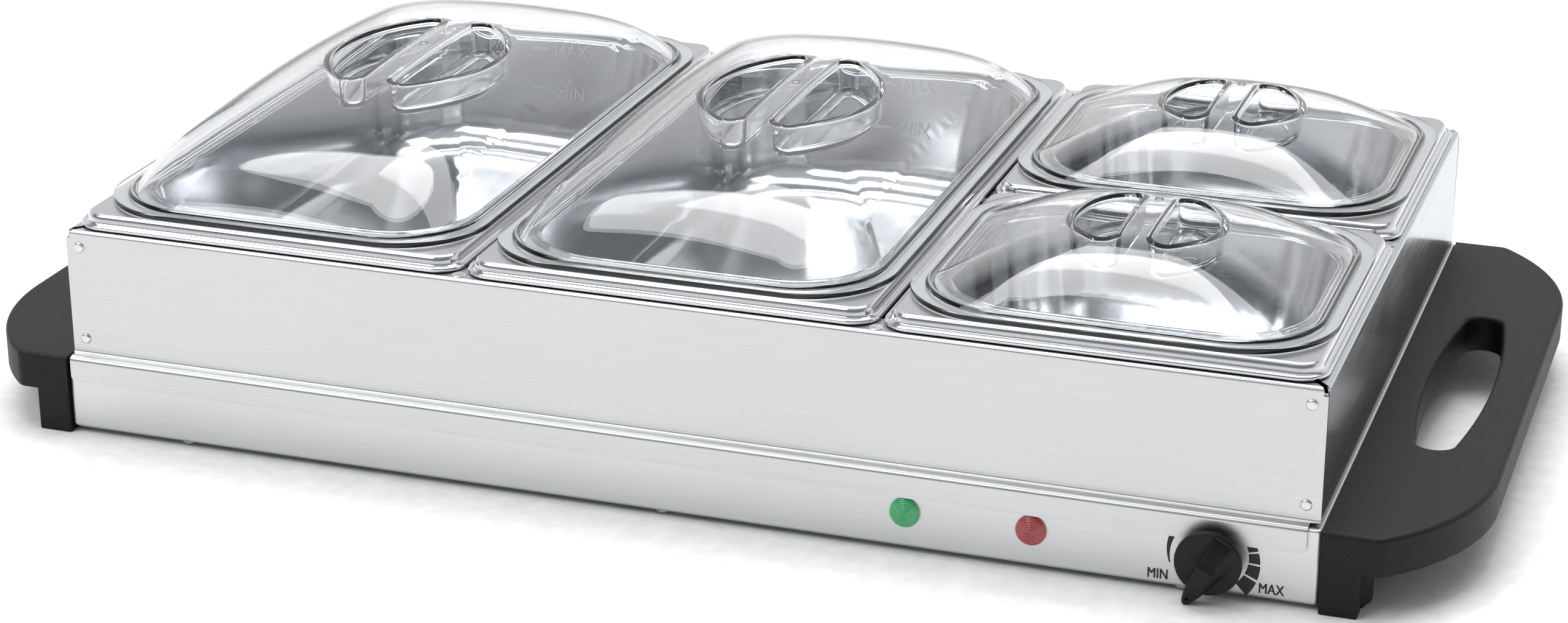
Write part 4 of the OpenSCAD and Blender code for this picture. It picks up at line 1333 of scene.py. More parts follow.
@dataclass
class Handle:
    """Moulded side handle: a grip plate with a finger slot, two legs and bosses."""

    side: Side
    plate_h: float = 16.0
    big_r: float = 95.0
    round_r: float = 6.0
    edge_r: float = 2.0
    slot_len: float = 150.0
    slot_w: float = 26.5
    slot_end: float = 16.0
    leg_w: float = 15.0
    leg_d: float = 8.0
    boss_r: float = 7.5
    rib: float = 4.0

    def __post_init__(self) -> None:
        """Reads the handle's box from the frame."""
        low, high = box_mm("handle_right")
        self.x0, self.half_len, self.top = low[0], high[1], high[2]
        self.reach = high[0] - low[0]
        self.slot_x = self.reach * 0.475

    def plate(self, inset: float) -> list[Point2]:
        """Outline of the grip plate, moved inwards by inset except at its inner edge."""
        reach, half = self.reach - inset, self.half_len - inset
        corner_y = self.half_len - self.big_r * math.sin(math.radians(50))
        centre = (self.reach - self.big_r, corner_y)
        big = self.big_r - inset
        small = max(self.round_r - inset, 1.0)
        # the small round between the front face and the big arc
        rise = half - small - centre[1]
        span = math.sqrt((big - small) ** 2 - rise**2)
        mid = (centre[0] + span, centre[1] + rise)
        turn = math.atan2(rise, span)
        points = [(0.0, half * i / 4) for i in range(5)]
        points += [(mid[0] * i / 5, half) for i in range(1, 5)]
        points += arc(mid, small, math.pi / 2, turn - math.pi / 2, 8)
        points += arc(centre, big, turn, -turn, 32)[1:]
        points += [(reach, centre[1] * (1 - i / 12)) for i in range(1, 13)]
        lower = [(x, -y) for x, y in reversed(points[1:-1])]
        return points + lower

    def slot(self, outset: float) -> list[Point2]:
        """Outline of the finger slot, moved outwards by outset."""
        end_r = self.slot_end / 2
        chord = self.slot_len / 2 - end_r
        sag = (self.slot_w - self.slot_end) / 2
        bow = (chord**2 + sag**2) / (2 * sag)
        cx = self.slot_w / 2 - bow
        lean = math.asin(chord / bow)
        right = arc((cx, 0.0), bow + outset, -lean, 2 * lean, 48)
        right += arc((0.0, chord), end_r + outset, lean, math.pi - 2 * lean, 16)[1:-1]
        left = [(-x, -y) for x, y in right]
        return [(self.slot_x + x, y) for x, y in right + left]

    def grip(self, shell: Shell) -> None:
        """Adds the grip plate to a shell, in the handle's own X."""
        r, small = self.edge_r, 0.5
        top, low = self.top, self.top - self.plate_h
        steps = [(small * u, low + small * v) for u, v in reversed(QUARTER[::2] + [QUARTER[-1]])]
        steps += [(r * u, top - r * v) for u, v in QUARTER]
        outer = [shell.ring(self.plate(i), z) for i, z in steps]
        inner = [shell.ring(self.slot(i), z) for i, z in steps]
        shell.stack(outer)
        shell.stack(inner)
        for k in (0, -1):
            shell.fill(outer[k], [inner[k]])

    def legs(self, shell: Shell) -> None:
        """Adds the corner legs, the bosses behind them and the stiffening rib."""
        under = self.top - self.plate_h
        for s in (-1, 1):
            cy = s * (self.half_len - self.leg_d / 2)
            cx = self.leg_w / 2
            rings = []
            ends = ((0.7, 0.0), (0.2, 0.2), (0.0, 0.7), (0.0, under + 0.45), (1.2, under + 1.2))
            for inset, z in ends:
                outline = rounded_rect(
                    self.leg_w / 2 - inset, self.leg_d / 2 - inset, 1.0 - 0.5 * inset, 4, 1
                )
                rings.append(shell.ring([(cx + x, cy + y) for x, y in outline], z))
            shell.block(rings)
            bx = self.rib + self.boss_r - 0.5
            by = s * (self.half_len - self.leg_d - self.boss_r + 2)
            r = self.boss_r
            profile = [(0, 2.5), (r - 0.8, 2.5), (r - 0.2, 2.8), (r, 3.4)]
            profile += [(r, under + 1.5), (0, under + 1.5)]
            shell.lathe(profile, Matrix.Translation((bx, by, 0)), 40)
        low = 4.3
        outline = rounded_rect(self.rib / 2, self.half_len - self.leg_d / 2, 0.5, 2, 1)
        rings = [
            shell.ring([(self.rib / 2 + x, y) for x, y in outline], z) for z in (low, under + 1)
        ]
        shell.block(rings)

    def build(self) -> bpy.types.Object:
        """Builds the handle and replaces its node."""
        shell = Shell()
        self.grip(shell)
        self.legs(shell)
        sign = self.side.value
        shell.points = [(sign * (self.x0 + x), y, z) for x, y, z in shell.points]
        word = self.side.name.lower()
        piece = shell.solid(f"side_handle_{word}", HANDLE_PLASTIC, 40)
        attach(piece, "base")
        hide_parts(f"handle_{word}")
        LOG.info("side handle, %s", word)
        return piece


# ------------------------------------------------------------------ knob


@dataclass
class Knob:
    """Thermostat knob: a disc with a collar behind it, and a wedge grip whose
    tip reaches past the disc."""

    axis: Point2 = (225.0, 17.5)
    off_angle: float = 25.0
    gap: float = 4.0
    disc_r: float = 13.0
    disc_h: float = 4.5
    hub_r: float = 4.6

    def __post_init__(self) -> None:
        """Reads the knob's place from the frame."""
        low, _ = box_mm("knob")
        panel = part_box("base_shell")[0][1] / MM
        self.height = panel - self.gap - low[1]
        tilt = math.radians(self.off_angle)
        self.tip = (self.axis[1] - low[2] - 1.6) / math.cos(tilt) + 1.6
        out = Matrix.Translation((self.axis[0], panel - self.gap, self.axis[1]))
        upright = Matrix.Rotation(math.radians(90), 4, "X")
        self.place = out @ upright @ Matrix.Rotation(-tilt, 4, "Z")

    def body(self, shell: Shell) -> None:
        """Adds the disc, its collar and its hub."""
        r, h = self.disc_r, self.disc_h
        profile = [(0, -3.0), (self.hub_r, -3.0), (self.hub_r, -0.2), (r - 1.4, 0.0)]
        profile += [(r - 1.1, 0.1), (r - 0.7, 0.35), (r - 0.7, 1.5), (r - 0.55, 1.75)]
        profile += [(r - 0.1, 1.85), (r, 2.1), (r, h - 0.9), (r - 0.12, h - 0.45)]
        profile += [(r - 0.45, h - 0.12), (r - 0.9, h), (r - 1.3, h + 0.02)]
        profile += [(r * 0.5, h + 0.12), (0, h + 0.15)]
        shell.lathe(profile, self.place, 96)

    def grip(self, shell: Shell) -> None:
        """Adds the wedge grip: steep on one side, sloping down to the disc on the other."""
        h, full = self.disc_h, self.height
        # along the pointer: place, half width on the steep side, width of the
        # top, how far the slope runs, and height of the top above the disc
        stations = [
            (-self.tip, 0.35, 0.35, 0.35, 0.9),
            (-self.tip + 0.25, 0.95, 0.95, 1.0, 1.15),
            (-self.tip + 0.8, 1.45, 1.45, 1.6, 1.5),
            (-self.tip + 1.8, 1.9, 1.85, 2.2, 1.9),
            (-self.tip + 3.6, 2.35, 2.3, 3.0, 2.5),
            (-self.tip + 6.4, 2.85, 2.8, 4.2, 3.4),
            (-9.0, 3.1, 3.2, 5.2, 4.2),
            (-6.0, 3.2, 3.6, 6.4, 5.0),
            (-3.0, 3.25, 4.0, 7.4, 5.7),
            (-0.6, 3.3, 4.4, 8.2, 6.0),
            (0.1, 3.3, 4.5, 8.4, 5.85),
            (0.7, 3.3, 4.6, 8.6, 5.35),
            (3.0, 3.3, 4.8, 8.6, 4.5),
            (6.0, 3.3, 4.9, 8.3, 3.3),
            (9.0, 3.25, 4.9, 7.4, 2.0),
            (10.6, 3.2, 4.8, 6.6, 1.2),
            (11.4, 3.1, 4.6, 6.0, 0.6),
        ]
        rings = []
        for v, left, flat, slope, rise in stations:
            rise = min(rise, full - h)
            bow = 0.5 * (v / 11.0) ** 2 if abs(v) < 11 else 0.5
            bottom = 0.9 if v < -self.disc_r + 2.0 else 1.6
            top = h + rise
            section = [
                (-left, bottom),
                (-left, h * 0.5),
                (-left, h),
                (-left + 0.12, top - 0.7),
                (-left + 0.3, top - 0.25),
                (-left + 0.65, top),
                (-left + 0.35 * (left + flat), top - 0.1),
                (flat * 0.55, top - 0.22),
                (flat * 0.9, top - 0.5),
                (flat + (slope - flat) * 0.25, h + (rise - 0.5) * 0.66),
                (flat + (slope - flat) * 0.55, h + (rise - 0.5) * 0.34),
                (flat + (slope - flat) * 0.85, h + (rise - 0.5) * 0.1),
                (slope, h - 0.05),
                (slope, h * 0.5),
                (slope, bottom),
            ]
            rings.append(shell.add(self.place @ Vector((u, v - bow, w)) for u, w in section))
        shell.block(rings)

    def build(self) -> bpy.types.Object:
        """Builds the knob and replaces its node."""
        shell = Shell()
        self.body(shell)
        self.grip(shell)
        piece = shell.solid("thermostat_knob", KNOB_PLASTIC, 30)
        dimple = Shell()
        top = self.disc_h + 1.75
        hollow = [(0, top - 0.8), (0.45, top - 0.7), (0.75, top - 0.35)]
        dimple.lathe(
            hollow + [(0.85, top + 1.5), (0, top + 1.5)],
            self.place @ Matrix.Translation((0, -self.tip + 3.0, 0)),
            24,
        )
        carved(piece, [dimple.solid("dimple", KNOB_PLASTIC)])
        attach(piece, "knob")
        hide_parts("knob")
        LOG.info("thermostat knob")
        return piece


# ------------------------------------------------------------------ frame


@dataclass
class BuffetFrame:
    """Lift-off frame of folded sheet, riveted at its corners."""

    sheet: float = 0.8
    top_r: float = 1.3
    foot_r: float = 2.1
    flange: float = 14.0
    side_flange: float = 9.0
    gap: float = 1.7
    trim: float = 4.0
    round_r: float = 2.6

    def __post_init__(self) -> None:
        """Reads the panels' boxes from the frame."""
        low, high = box_mm("frame_front")
        self.half_w, self.top = high[0], high[2]
        self.front, self.skirt_low = low[1], low[2]
        side_low, side_high = box_mm("frame_right")
        self.foot, self.side_half = side_low[2], side_high[1]
        self.face = -self.side_half - self.sheet - 0.1

    def front_panel(self, wall: Wall) -> bpy.types.Object:
        """The front or back panel: flange, face, ledge on the base, and skirt."""
        t = self.sheet
        y_face, y_skirt = self.face + t / 2, self.front + t / 2
        z_top, z_foot = self.top - t / 2, self.foot + t / 2
        mid = bend_path(
            [
                (self.face + self.flange, z_top),
                (y_face, z_top),
                (y_face, z_foot),
                (y_skirt, z_foot),
                (y_skirt, self.skirt_low + self.round_r),
            ],
            [self.top_r, self.foot_r, self.foot_r],
        )
        for k in range(1, 9):
            a = math.pi / 2 * k / 8
            mid.append(np.array([y_skirt, self.skirt_low + self.round_r * (1 - math.sin(a))]))
        # points where the sheet's end steps in, near the top corner
        extra = [np.array([y_face, self.top - h]) for h in (3.2, 3.4)]
        spot = next(
            i for i, p in enumerate(mid) if p[1] < self.top - 3.4 and abs(p[0] - y_face) < 0.01
        )
        mid = mid[:spot] + extra + mid[spot:]

        def ends(point: np.ndarray, end: int) -> float:
            """Where the sheet ends in X: short at the flange, trimmed at the skirt."""
            y, z = float(point[0]), float(point[1])
            if z > self.top - 3.3:
                return end * (self.half_w - self.gap - max(0.0, y - y_face))
            if y < y_face - 1.0:
                cut = self.trim if end * wall.value < 0 else 0.4
                low = self.skirt_low + self.round_r
                if z < low:
                    cut += self.round_r - math.sqrt(max(0.0, self.round_r**2 - (low - z) ** 2))
                return end * (self.half_w - cut)
            return end * self.half_w

        def place(length: float, point: np.ndarray) -> Point3:
            """A point of the front or back panel."""
            return (length, -wall.value * float(point[0]), float(point[1]))

        shell = folded_sheet(mid, t, ends, place)
        word = wall.name.lower()
        piece = shell.solid(f"frame_panel_{word}", PANEL_STEEL)
        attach(piece, "buffet_frame")
        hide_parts(f"frame_{word}")
        return piece

    def side_panel(self, side: Side) -> bpy.types.Object:
        """A side panel: flange, face, foot on the base, and a tab at each end."""
        t = self.sheet
        x_face = self.half_w - t / 2
        z_top, z_foot = self.top - t / 2, self.foot + t / 2
        mid = bend_path(
            [
                (self.half_w - self.side_flange, z_top),
                (x_face, z_top),
                (x_face, z_foot),
                (x_face - 6, z_foot),
            ],
            [self.top_r, self.foot_r],
        )

        def ends(point: np.ndarray, end: int) -> float:
            """Where the sheet ends in Y: mitred at the flange."""
            x, z = float(point[0]), float(point[1])
            if z > self.top - self.top_r - 1:
                return end * (self.side_half - self.gap - max(0.0, x_face - x))
            return end * self.side_half

        def place(length: float, point: np.ndarray) -> Point3:
            """A point of this side's panel."""
            return (side.value * float(point[0]), length, float(point[1]))

        shell = folded_sheet(mid, t, ends, place)
        for s in (-1, 1):
            y = s * (self.side_half - t / 2)
            box = []
            for z in (self.foot + 3.0, self.top - 3.0 * t):
                xs = (self.half_w - 14.0, self.half_w - t / 2)
                corners = [(xs[i], y + j * t / 2) for i, j in ((0, -1), (1, -1), (1, 1), (0, 1))]
                box.append(shell.ring([(side.value * x, v) for x, v in corners], z))
            shell.block(box)
        word = side.name.lower()
        piece = shell.solid(f"frame_side_{word}", SIDE_STEEL)
        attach(piece, "buffet_frame")
        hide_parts(f"frame_{word}")
        return piece

    def rivets(self) -> None:
        """The rivets at the corners, on the flanges and on the bars."""
        dome = [(2.3, 0.0), (2.3, 0.25), (2.1, 0.6), (1.7, 0.82), (1.2, 0.88), (0.0, 0.9)]
        tail = [(0.0, -2.45), (1.7, -2.45), (2.1, -2.2), (2.1, -1.75), (1.5, -1.7), (1.5, 0.0)]
        places = []
        for x in (-1, 1):
            for y in (-1, 1):
                for z in (self.top - 7.2, self.top - 48.0):
                    places.append(((x * (self.half_w - 5.9), y * -self.face, z), (0, y, 0)))
        Fasteners(
            "corner_rivet_set", RIVET_STEEL, "buffet_frame", "corner_rivets", tuple(tail + dome), 40
        ).build(places)
        wide = [(3.0, 0.0), (3.0, 0.2), (2.75, 0.5), (2.2, 0.62), (1.9, 0.55), (0.0, 0.5)]
        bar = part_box("bar_right")
        bar_x = (bar[0][0] + bar[1][0]) / 2 / MM
        up = (0, 0, 1)
        reach = -self.face - 4.2
        places = [((s * bar_x, y * reach, self.top), up) for s in (-1, 1) for y in (-1, 1)]
        places += [((self.half_w - 5.0, 0, self.top), up), ((bar_x, 0, self.top - 0.9), up)]
        Fasteners(
            "bar_rivet_set", RIVET_STEEL, "buffet_frame", "bar_rivets", tuple(tail + wide), 40
        ).build(places)

    def build(self) -> None:
        """Builds the frame."""
        for wall in Wall:
            self.front_panel(wall)
        for side in Side:
            self.side_panel(side)
        self.rivets()
        for node in ("bar_left", "bar_right"):
            repaint(node, SIDE_STEEL)
        repaint("bar_short", PANEL_STEEL)
        LOG.info("lift-off frame: panels, bars and rivets")


# ------------------------------------------------------------------ pans


@dataclass
class Pan:
    """Deep-drawn food pan: rolled edge, stepped rim, and a tub with soft corners."""

    dish: Dish
    sheet: float = 0.7
    rim_r: float = 12.0
    land_x: float = 12.5
    land_y: float = 19.0
    mouth_r: float = 36.0
    lean: float = 6.0
    floor_r: float = 13.0
    lip_r: float = 2.6
    # fill marks: height of a capital, and the feet of MAX and MIN
    mark_h: float = 6.6
    mark_zs: Point2 = (86.2, 65.4)

    # inset from the rim's edge and height of each ring of the rolled rim
    RIM_SEEN = (
        ((1.0, 0.0), (0.45, 0.12), (0.1, 0.5), (0.0, 1.0), (0.1, 1.5), (0.45, 1.9), (0.9, 2.0))
        + ((1.25, 1.85), (1.45, 1.62), (1.7, 1.6), (1.9, 1.8), (2.15, 2.02), (2.5, 2.25))
        + ((2.75, 2.7), (2.9, 3.6), (3.1, 4.5), (3.5, 5.3), (4.1, 5.8), (4.9, 6.0), (5.4, 6.0))
    )
    RIM_UNDER = (
        ((1.0, 0.05), (1.4, 0.9), (2.2, 1.2), (3.1, 1.6))
        + ((3.6, 2.6), (3.8, 4.0), (4.3, 4.9), (5.2, 5.3))
    )

    def __post_init__(self) -> None:
        """Reads the pan's box from the frame."""
        low, high = box_mm(f"pan_{self.dish.word}")
        self.centre = (low + high) / 2
        self.half = (high - low) / 2
        self.bottom, self.rim, self.flat = low[2], high[2] - 6.0, high[2]

    def outline(self, inset_x: float, inset_y: float, radius: float) -> list[Point2]:
        """Outline at a given inset from the rim's edge."""
        points = rounded_rect(self.half[0] - inset_x, self.half[1] - inset_y, radius, 16, 6)
        return [(self.centre[0] + x, self.centre[1] + y) for x, y in points]

    def rings(self, shell: Shell, back: float) -> list[list[int]]:
        """Rings of one face of the sheet, from the rolled edge to the floor.

        Args:
            shell: Shell that gets the rings.
            back: 0 for the face that is seen, or the sheet's thickness for the
                one under it.

        Returns:
            The rings.
        """
        rings = []

        def ring(inset: float, z: float) -> None:
            """Adds a ring of the rolled rim."""
            rings.append(
                shell.ring(self.outline(inset, inset, max(self.rim_r - inset, 2.0)), self.rim + z)
            )

        for inset, z in self.RIM_UNDER if back else self.RIM_SEEN:
            ring(inset, z)
        top = self.flat - back
        lip = self.lip_r - back
        for a in np.linspace(0, math.pi / 2 - math.radians(5), 7):
            out = lip * (1 - math.sin(a))
            x, y = self.land_x - back - out, self.land_y - back - out
            outline = self.outline(x, y, self.mouth_r + back + out)
            rings.append(shell.ring(outline, top - lip * (1 - math.cos(a))))
        depth = top - lip - self.bottom - self.sheet + back - self.floor_r
        radius = self.mouth_r + back
        for share in (0.12, 0.5, 0.9, 1.0):
            inset = self.lean * share * 0.9
            x, y = self.land_x - back + inset, self.land_y - back + inset
            outline = self.outline(x, y, radius - inset * 0.2)
            rings.append(shell.ring(outline, top - lip - depth * share))
        floor = self.bottom + self.sheet - back
        bend = self.floor_r
        for a in np.linspace(math.radians(6), math.pi / 2, 9)[1:]:
            inset = self.lean * 0.9 + bend * (1 - math.cos(a))
            x, y = self.land_x - back + inset, self.land_y - back + inset
            corner = max(radius - self.lean * 0.2 - bend * 0.5 * (1 - math.cos(a)), 8)
            outline = self.outline(x, y, corner)
            rings.append(shell.ring(outline, floor + bend * (1 - math.sin(a))))
        return rings

    def marks(self) -> bpy.types.Object:
        """The fill marks stamped in the back wall of a large pan."""
        meshes = []
        wall_y = self.centre[1] + self.half[1] - self.land_y
        lean = math.atan2(self.lean, self.flat - self.bottom)
        slant = Matrix.Rotation(math.radians(90) - lean, 4, "X")
        narrow = Matrix.Diagonal((0.8, 1.0, 1.0, 1.0))
        for word, z in zip(("MAX", "MIN"), self.mark_zs):
            share = (self.flat - self.lip_r - z) / (self.flat - self.bottom - self.floor_r)
            y = wall_y - self.lean * 0.9 * share - 0.1
            place = Matrix.Translation((self.centre[0] + 16, y, z)) @ slant
            meshes.append(lettering(word, self.mark_h, 1.2, place @ narrow))
            dash = Shell()
            bar = rounded_rect(4.4, 0.65, 0.6, 4, 1)
            spot = place @ Matrix.Translation((-16.3, 3.3, 0))
            rings = [
                dash.add(spot @ Vector((x, y2, lift)) for x, y2 in bar) for lift in (-0.2, 0.6)
            ]
            dash.block(rings)
            meshes.append(dash.mesh("dash"))
        name = f"fill_marks_{self.dish.word}"
        piece = dress(merged(meshes, name), name, RIM_STEEL)
        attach(piece, f"pan_{self.dish.word}")
        return piece

    def build(self) -> bpy.types.Object:
        """Builds the pan and replaces its node."""
        shell = Shell()
        seen = self.rings(shell, 0.0)
        under = self.rings(shell, self.sheet)
        shell.stack(seen)
        shell.stack(under)
        shell.bridge(seen[0], under[0])
        shell.cap(seen[-1])
        shell.cap(under[-1])
        word = self.dish.word
        piece = shell.solid(f"food_pan_{word}", PAN_STEEL, 50)
        piece.data.materials.append(RIM_STEEL.material())
        for face in piece.data.polygons:
            x, y, z = (abs(c / MM - m) for c, m in zip(face.center, (*self.centre[:2], 0)))
            at_edge = self.half[0] - x < 4.3 and self.half[1] - y > 0 or self.half[1] - y < 4.3
            if face.normal.z > 0.97 and z > self.flat - 0.3 and not at_edge:
                face.material_index = 1
        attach(piece, f"pan_{word}")
        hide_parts(f"pan_{word}")
        if self.dish.large:
            self.marks()
        LOG.info("food pan, %s", word)
        return piece


# ------------------------------------------------------------------ lids


@dataclass
class Lid:
    """Clear domed lid with two half-moon finger pockets beside a bar."""

    dish: Dish
    wall: float = 2.0
    flange: float = 7.5
    edge_r: float = 38.0
    foot_r: float = 34.0
    bar: float = 13.0
    pocket_deep: float = 16.0
    # the rim under the flange: its height, corner radius, and insets along X and Y
    locator_h: float = 2.3
    locator_r: float = 34.8
    locator_in: Point2 = (11.2, 16.2)

    # inset from the edge and height of each ring of the flange, up to the dome's foot
    FLANGE = (
        ((0.5, 0.0), (0.12, 0.12), (0.0, 0.5), (0.0, 1.5), (0.12, 1.88), (0.5, 2.0), (1.0, 2.0))
        + ((5.0, 2.0), (5.3, 2.08), (5.55, 2.5), (5.8, 2.95), (6.2, 3.2), (6.6, 3.2))
        + ((6.9, 3.0), (7.15, 2.7), (7.5, 2.6))
    )

    def __post_init__(self) -> None:
        """Reads the lid's box from the frame."""
        low, high = box_mm(f"lid_{self.dish.word}")
        self.centre = (low + high) / 2
        self.half = (high - low) / 2
        self.seat = low[2] + self.locator_h
        self.top = high[2]
        self.grip_w, self.grip_l = (75.0, 112.0) if self.dish.large else (60.0, 64.0)
        # how far the dome has come down at its foot along X and Y, and how late
        # and how steeply it drops to the flange
        self.arch = (0.3, 0.42) if self.dish.large else (0.6, 0.1)
        self.drop = (8.0, 1.0) if self.dish.large else (3.4, 1.0)

    def gauge(self, x: float, y: float, inset: float) -> float:
        """How far out a point is: 0 in the middle and 1 on the dome's foot."""
        a, b = self.half[0] - self.flange - inset, self.half[1] - self.flange - inset
        r = self.foot_r - inset
        px, py = abs(x - self.centre[0]), abs(y - self.centre[1])
        if px < 1e-9 and py < 1e-9:
            return 0.0
        if px / a >= py / b and py * a / max(px, 1e-9) <= b - r:
            return px / a
        if py / b >= px / a and px * b / max(py, 1e-9) <= a - r:
            return py / b
        ca, cb = a - r, b - r
        dot, sq = px * ca + py * cb, px * px + py * py
        root = math.sqrt(max(dot * dot - sq * (ca * ca + cb * cb - r * r), 0.0))
        return sq / (dot + root)

    def height(self, x: float, y: float, back: float) -> float:
        """Height of the dome over a point.

        Args:
            x: The point's X.
            y: The point's Y.
            back: 0 for the outer face, or the wall's thickness for the inner one.

        Returns:
            The height in millimetres.
        """
        rho = min(self.gauge(x, y, back), 1.0)
        foot = self.seat + 2.6 - back
        crown = self.top - 0.02 - back
        u = ((x - self.centre[0]) / (self.half[0] - self.flange)) ** 2
        v = ((y - self.centre[1]) / (self.half[1] - self.flange)) ** 2
        wall = (1 - rho ** self.drop[0]) ** self.drop[1]
        return foot + (crown - foot) * wall * (1 - self.arch[0] * u) * (1 - self.arch[1] * v)

    def outline(self, inset: float, radius: float) -> list[Point2]:
        """Outline at a given inset from the lid's edge."""
        points = rounded_rect(self.half[0] - inset, self.half[1] - inset, radius, 18, 10)
        return [(self.centre[0] + x, self.centre[1] + y) for x, y in points]

    def half_moon(self, side: int, inset: float, back: float) -> list[Point2]:
        """Outline of a finger pocket, moved inwards by inset.

        Args:
            side: -1 or 1.
            inset: Distance moved inwards.
            back: 0 for the outer face, or the wall's thickness for the inner one.

        Returns:
            The outline, anticlockwise for side 1.
        """
        inset -= back
        outer_r = (self.grip_w**2 + self.grip_l**2) / (4 * self.grip_w)
        mid = self.grip_w / 2 - outer_r
        chord, arc_r = self.bar / 2 + inset, outer_r - inset
        r = max(6.0 - inset, 1.2)
        cx = chord + r
        cy = math.sqrt((arc_r - r) ** 2 - (cx - mid) ** 2)
        phi = math.atan2(cy, cx - mid)
        points = arc((mid, 0.0), arc_r, -phi, 2 * phi, 32)
        points += arc((cx, cy), r, phi, math.pi - phi, 8)[1:]
        points += [(chord, cy * (1 - 2 * i / 16)) for i in range(1, 16)]
        points += arc((cx, -cy), r, math.pi, math.pi - phi, 8)[:-1]
        return [(self.centre[0] + side * x, self.centre[1] + y) for x, y in points]

    def dome(self, shell: Shell, rim: list[int], back: float) -> None:
        """Adds one face of the dome and its pockets, inside a ring.

        Args:
            shell: Shell that gets the faces.
            rim: The ring that the dome starts from.
            back: 0 for the outer face, or the wall's thickness for the inner one.
        """

        def z(x: float, y: float) -> float:
            """Height of this face over a point."""
            return self.height(x, y, back)

        foot = self.outline(self.flange + back, self.foot_r - back)
        rings = [rim]
        for share in (0.9985, 0.994, 0.986, 0.972, 0.95, 0.92, 0.885):
            scaled = [
                (
                    self.centre[0] + (x - self.centre[0]) * share,
                    self.centre[1] + (y - self.centre[1]) * share,
                )
                for x, y in foot
            ]
            rings.append(shell.ring(scaled, z))
        shell.stack(rings)
        edge = rings[-1]
        holes = [shell.ring(self.half_moon(s, 0.0, back), z) for s in (-1, 1)]
        margin = [self.half_moon(s, -1.4, back) for s in (-1, 1)]
        step = 3.4
        within: list[int] = []
        nx = int(self.half[0] / step)
        ny = int(self.half[1] / step)
        for i in range(-nx, nx + 1):
            for j in range(-ny, ny + 1):
                x = self.centre[0] + (i + 0.5 * (j % 2)) * step
                y = self.centre[1] + j * step
                if self.gauge(x, y, back) > 0.865 or any(inside(x, y, m) for m in margin):
                    continue
                within += shell.add([(x, y, z(x, y))])
        shell.fill(edge, holes, within)
        for s, hole in zip((-1, 1), holes):
            self.pocket(shell, s, hole, back)

    def pocket(self, shell: Shell, side: int, hole: list[int], back: float) -> None:
        """Adds one face of a finger pocket, down from its edge on the dome."""
        floor = self.top - self.pocket_deep - back

        def under(drop: float) -> Callable[[float, float], float]:
            """Gives the height a drop below the dome, and clear of the pocket's floor."""
            return lambda x, y: max(self.height(x, y, back) - drop, floor + 3.0)

        rings = [hole]
        for inset, drop in ((0.35, 0.1), (0.75, 0.42), (1.0, 0.95), (1.15, 1.7)):
            rings.append(shell.ring(self.half_moon(side, inset, back), under(drop)))
        for inset, rise in ((1.7, 2.9), (2.1, 1.7), (2.9, 0.8), (4.2, 0.25), (6.2, 0.0)):
            rings.append(shell.ring(self.half_moon(side, inset, back), floor + rise))
        shell.stack(rings)
        shell.cap(rings[-1])

    def mould_mark(self, shell: Shell) -> None:
        """Adds the small round mark on the bar, where the plastic entered the mould."""
        y = self.centre[1] + (6.0 if self.dish.large else 20.0)
        top = self.height(self.centre[0], y, 0.0)
        profile = [(0, -0.6), (1.9, -0.6), (1.95, 0.0), (1.7, 0.12), (1.4, 0.0), (1.2, -0.15)]
        place = Matrix.Translation((self.centre[0], y, min(top, self.top - 0.15)))
        shell.lathe(profile + [(0, -0.15)], place, 28)

    def build(self) -> bpy.types.Object:
        """Builds the lid and replaces its node."""
        shell = Shell()
        seat, r = self.seat, self.edge_r
        fall = (self.edge_r - self.foot_r) / self.flange

        def ring(inset: float, z: float) -> list[int]:
            """A ring at an inset from the edge and a height above the seat."""
            return shell.ring(self.outline(inset, r - fall * inset), seat + z)

        outer = [ring(inset, z) for inset, z in self.FLANGE]
        shell.stack(outer)
        self.dome(shell, outer[-1], 0.0)
        low = seat - self.locator_h
        under = [outer[0]]

        def locator(grow: float, z: float) -> list[int]:
            """A ring of the rim that drops into the pan's mouth."""
            x, y = (half - inset - grow for half, inset in zip(self.half, self.locator_in))
            points = rounded_rect(x, y, self.locator_r - grow, 18, 10)
            return shell.ring([(self.centre[0] + x, self.centre[1] + y) for x, y in points], z)

        under += [ring(4.0, 0.0), locator(-0.4, seat), locator(0.0, seat - 0.4)]
        under += [locator(0.0, low + 0.4), locator(0.4, low), locator(1.6, low)]
        under += [locator(2.0, low + 0.4), locator(2.0, seat - 0.2)]
        shell.stack(under)
        self.dome_under(shell, under[-1])
        self.mould_mark(shell)
        word = self.dish.word
        piece = shell.solid(f"clear_lid_{word}", LID_PLASTIC, 42)
        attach(piece, f"lid_{word}")
        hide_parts(f"lid_{word}")
        LOG.info("clear lid, %s", word)
        return piece

    def dome_under(self, shell: Shell, rim: list[int]) -> None:
        """Adds the inner face of the dome, from the locating rim up."""
        foot = self.outline(self.flange + self.wall, self.foot_r - self.wall)
        start = shell.ring(foot, self.seat + 0.6)
        shell.bridge(rim, start)
        self.dome(shell, start, self.wall)


# ------------------------------------------------------------------ studio


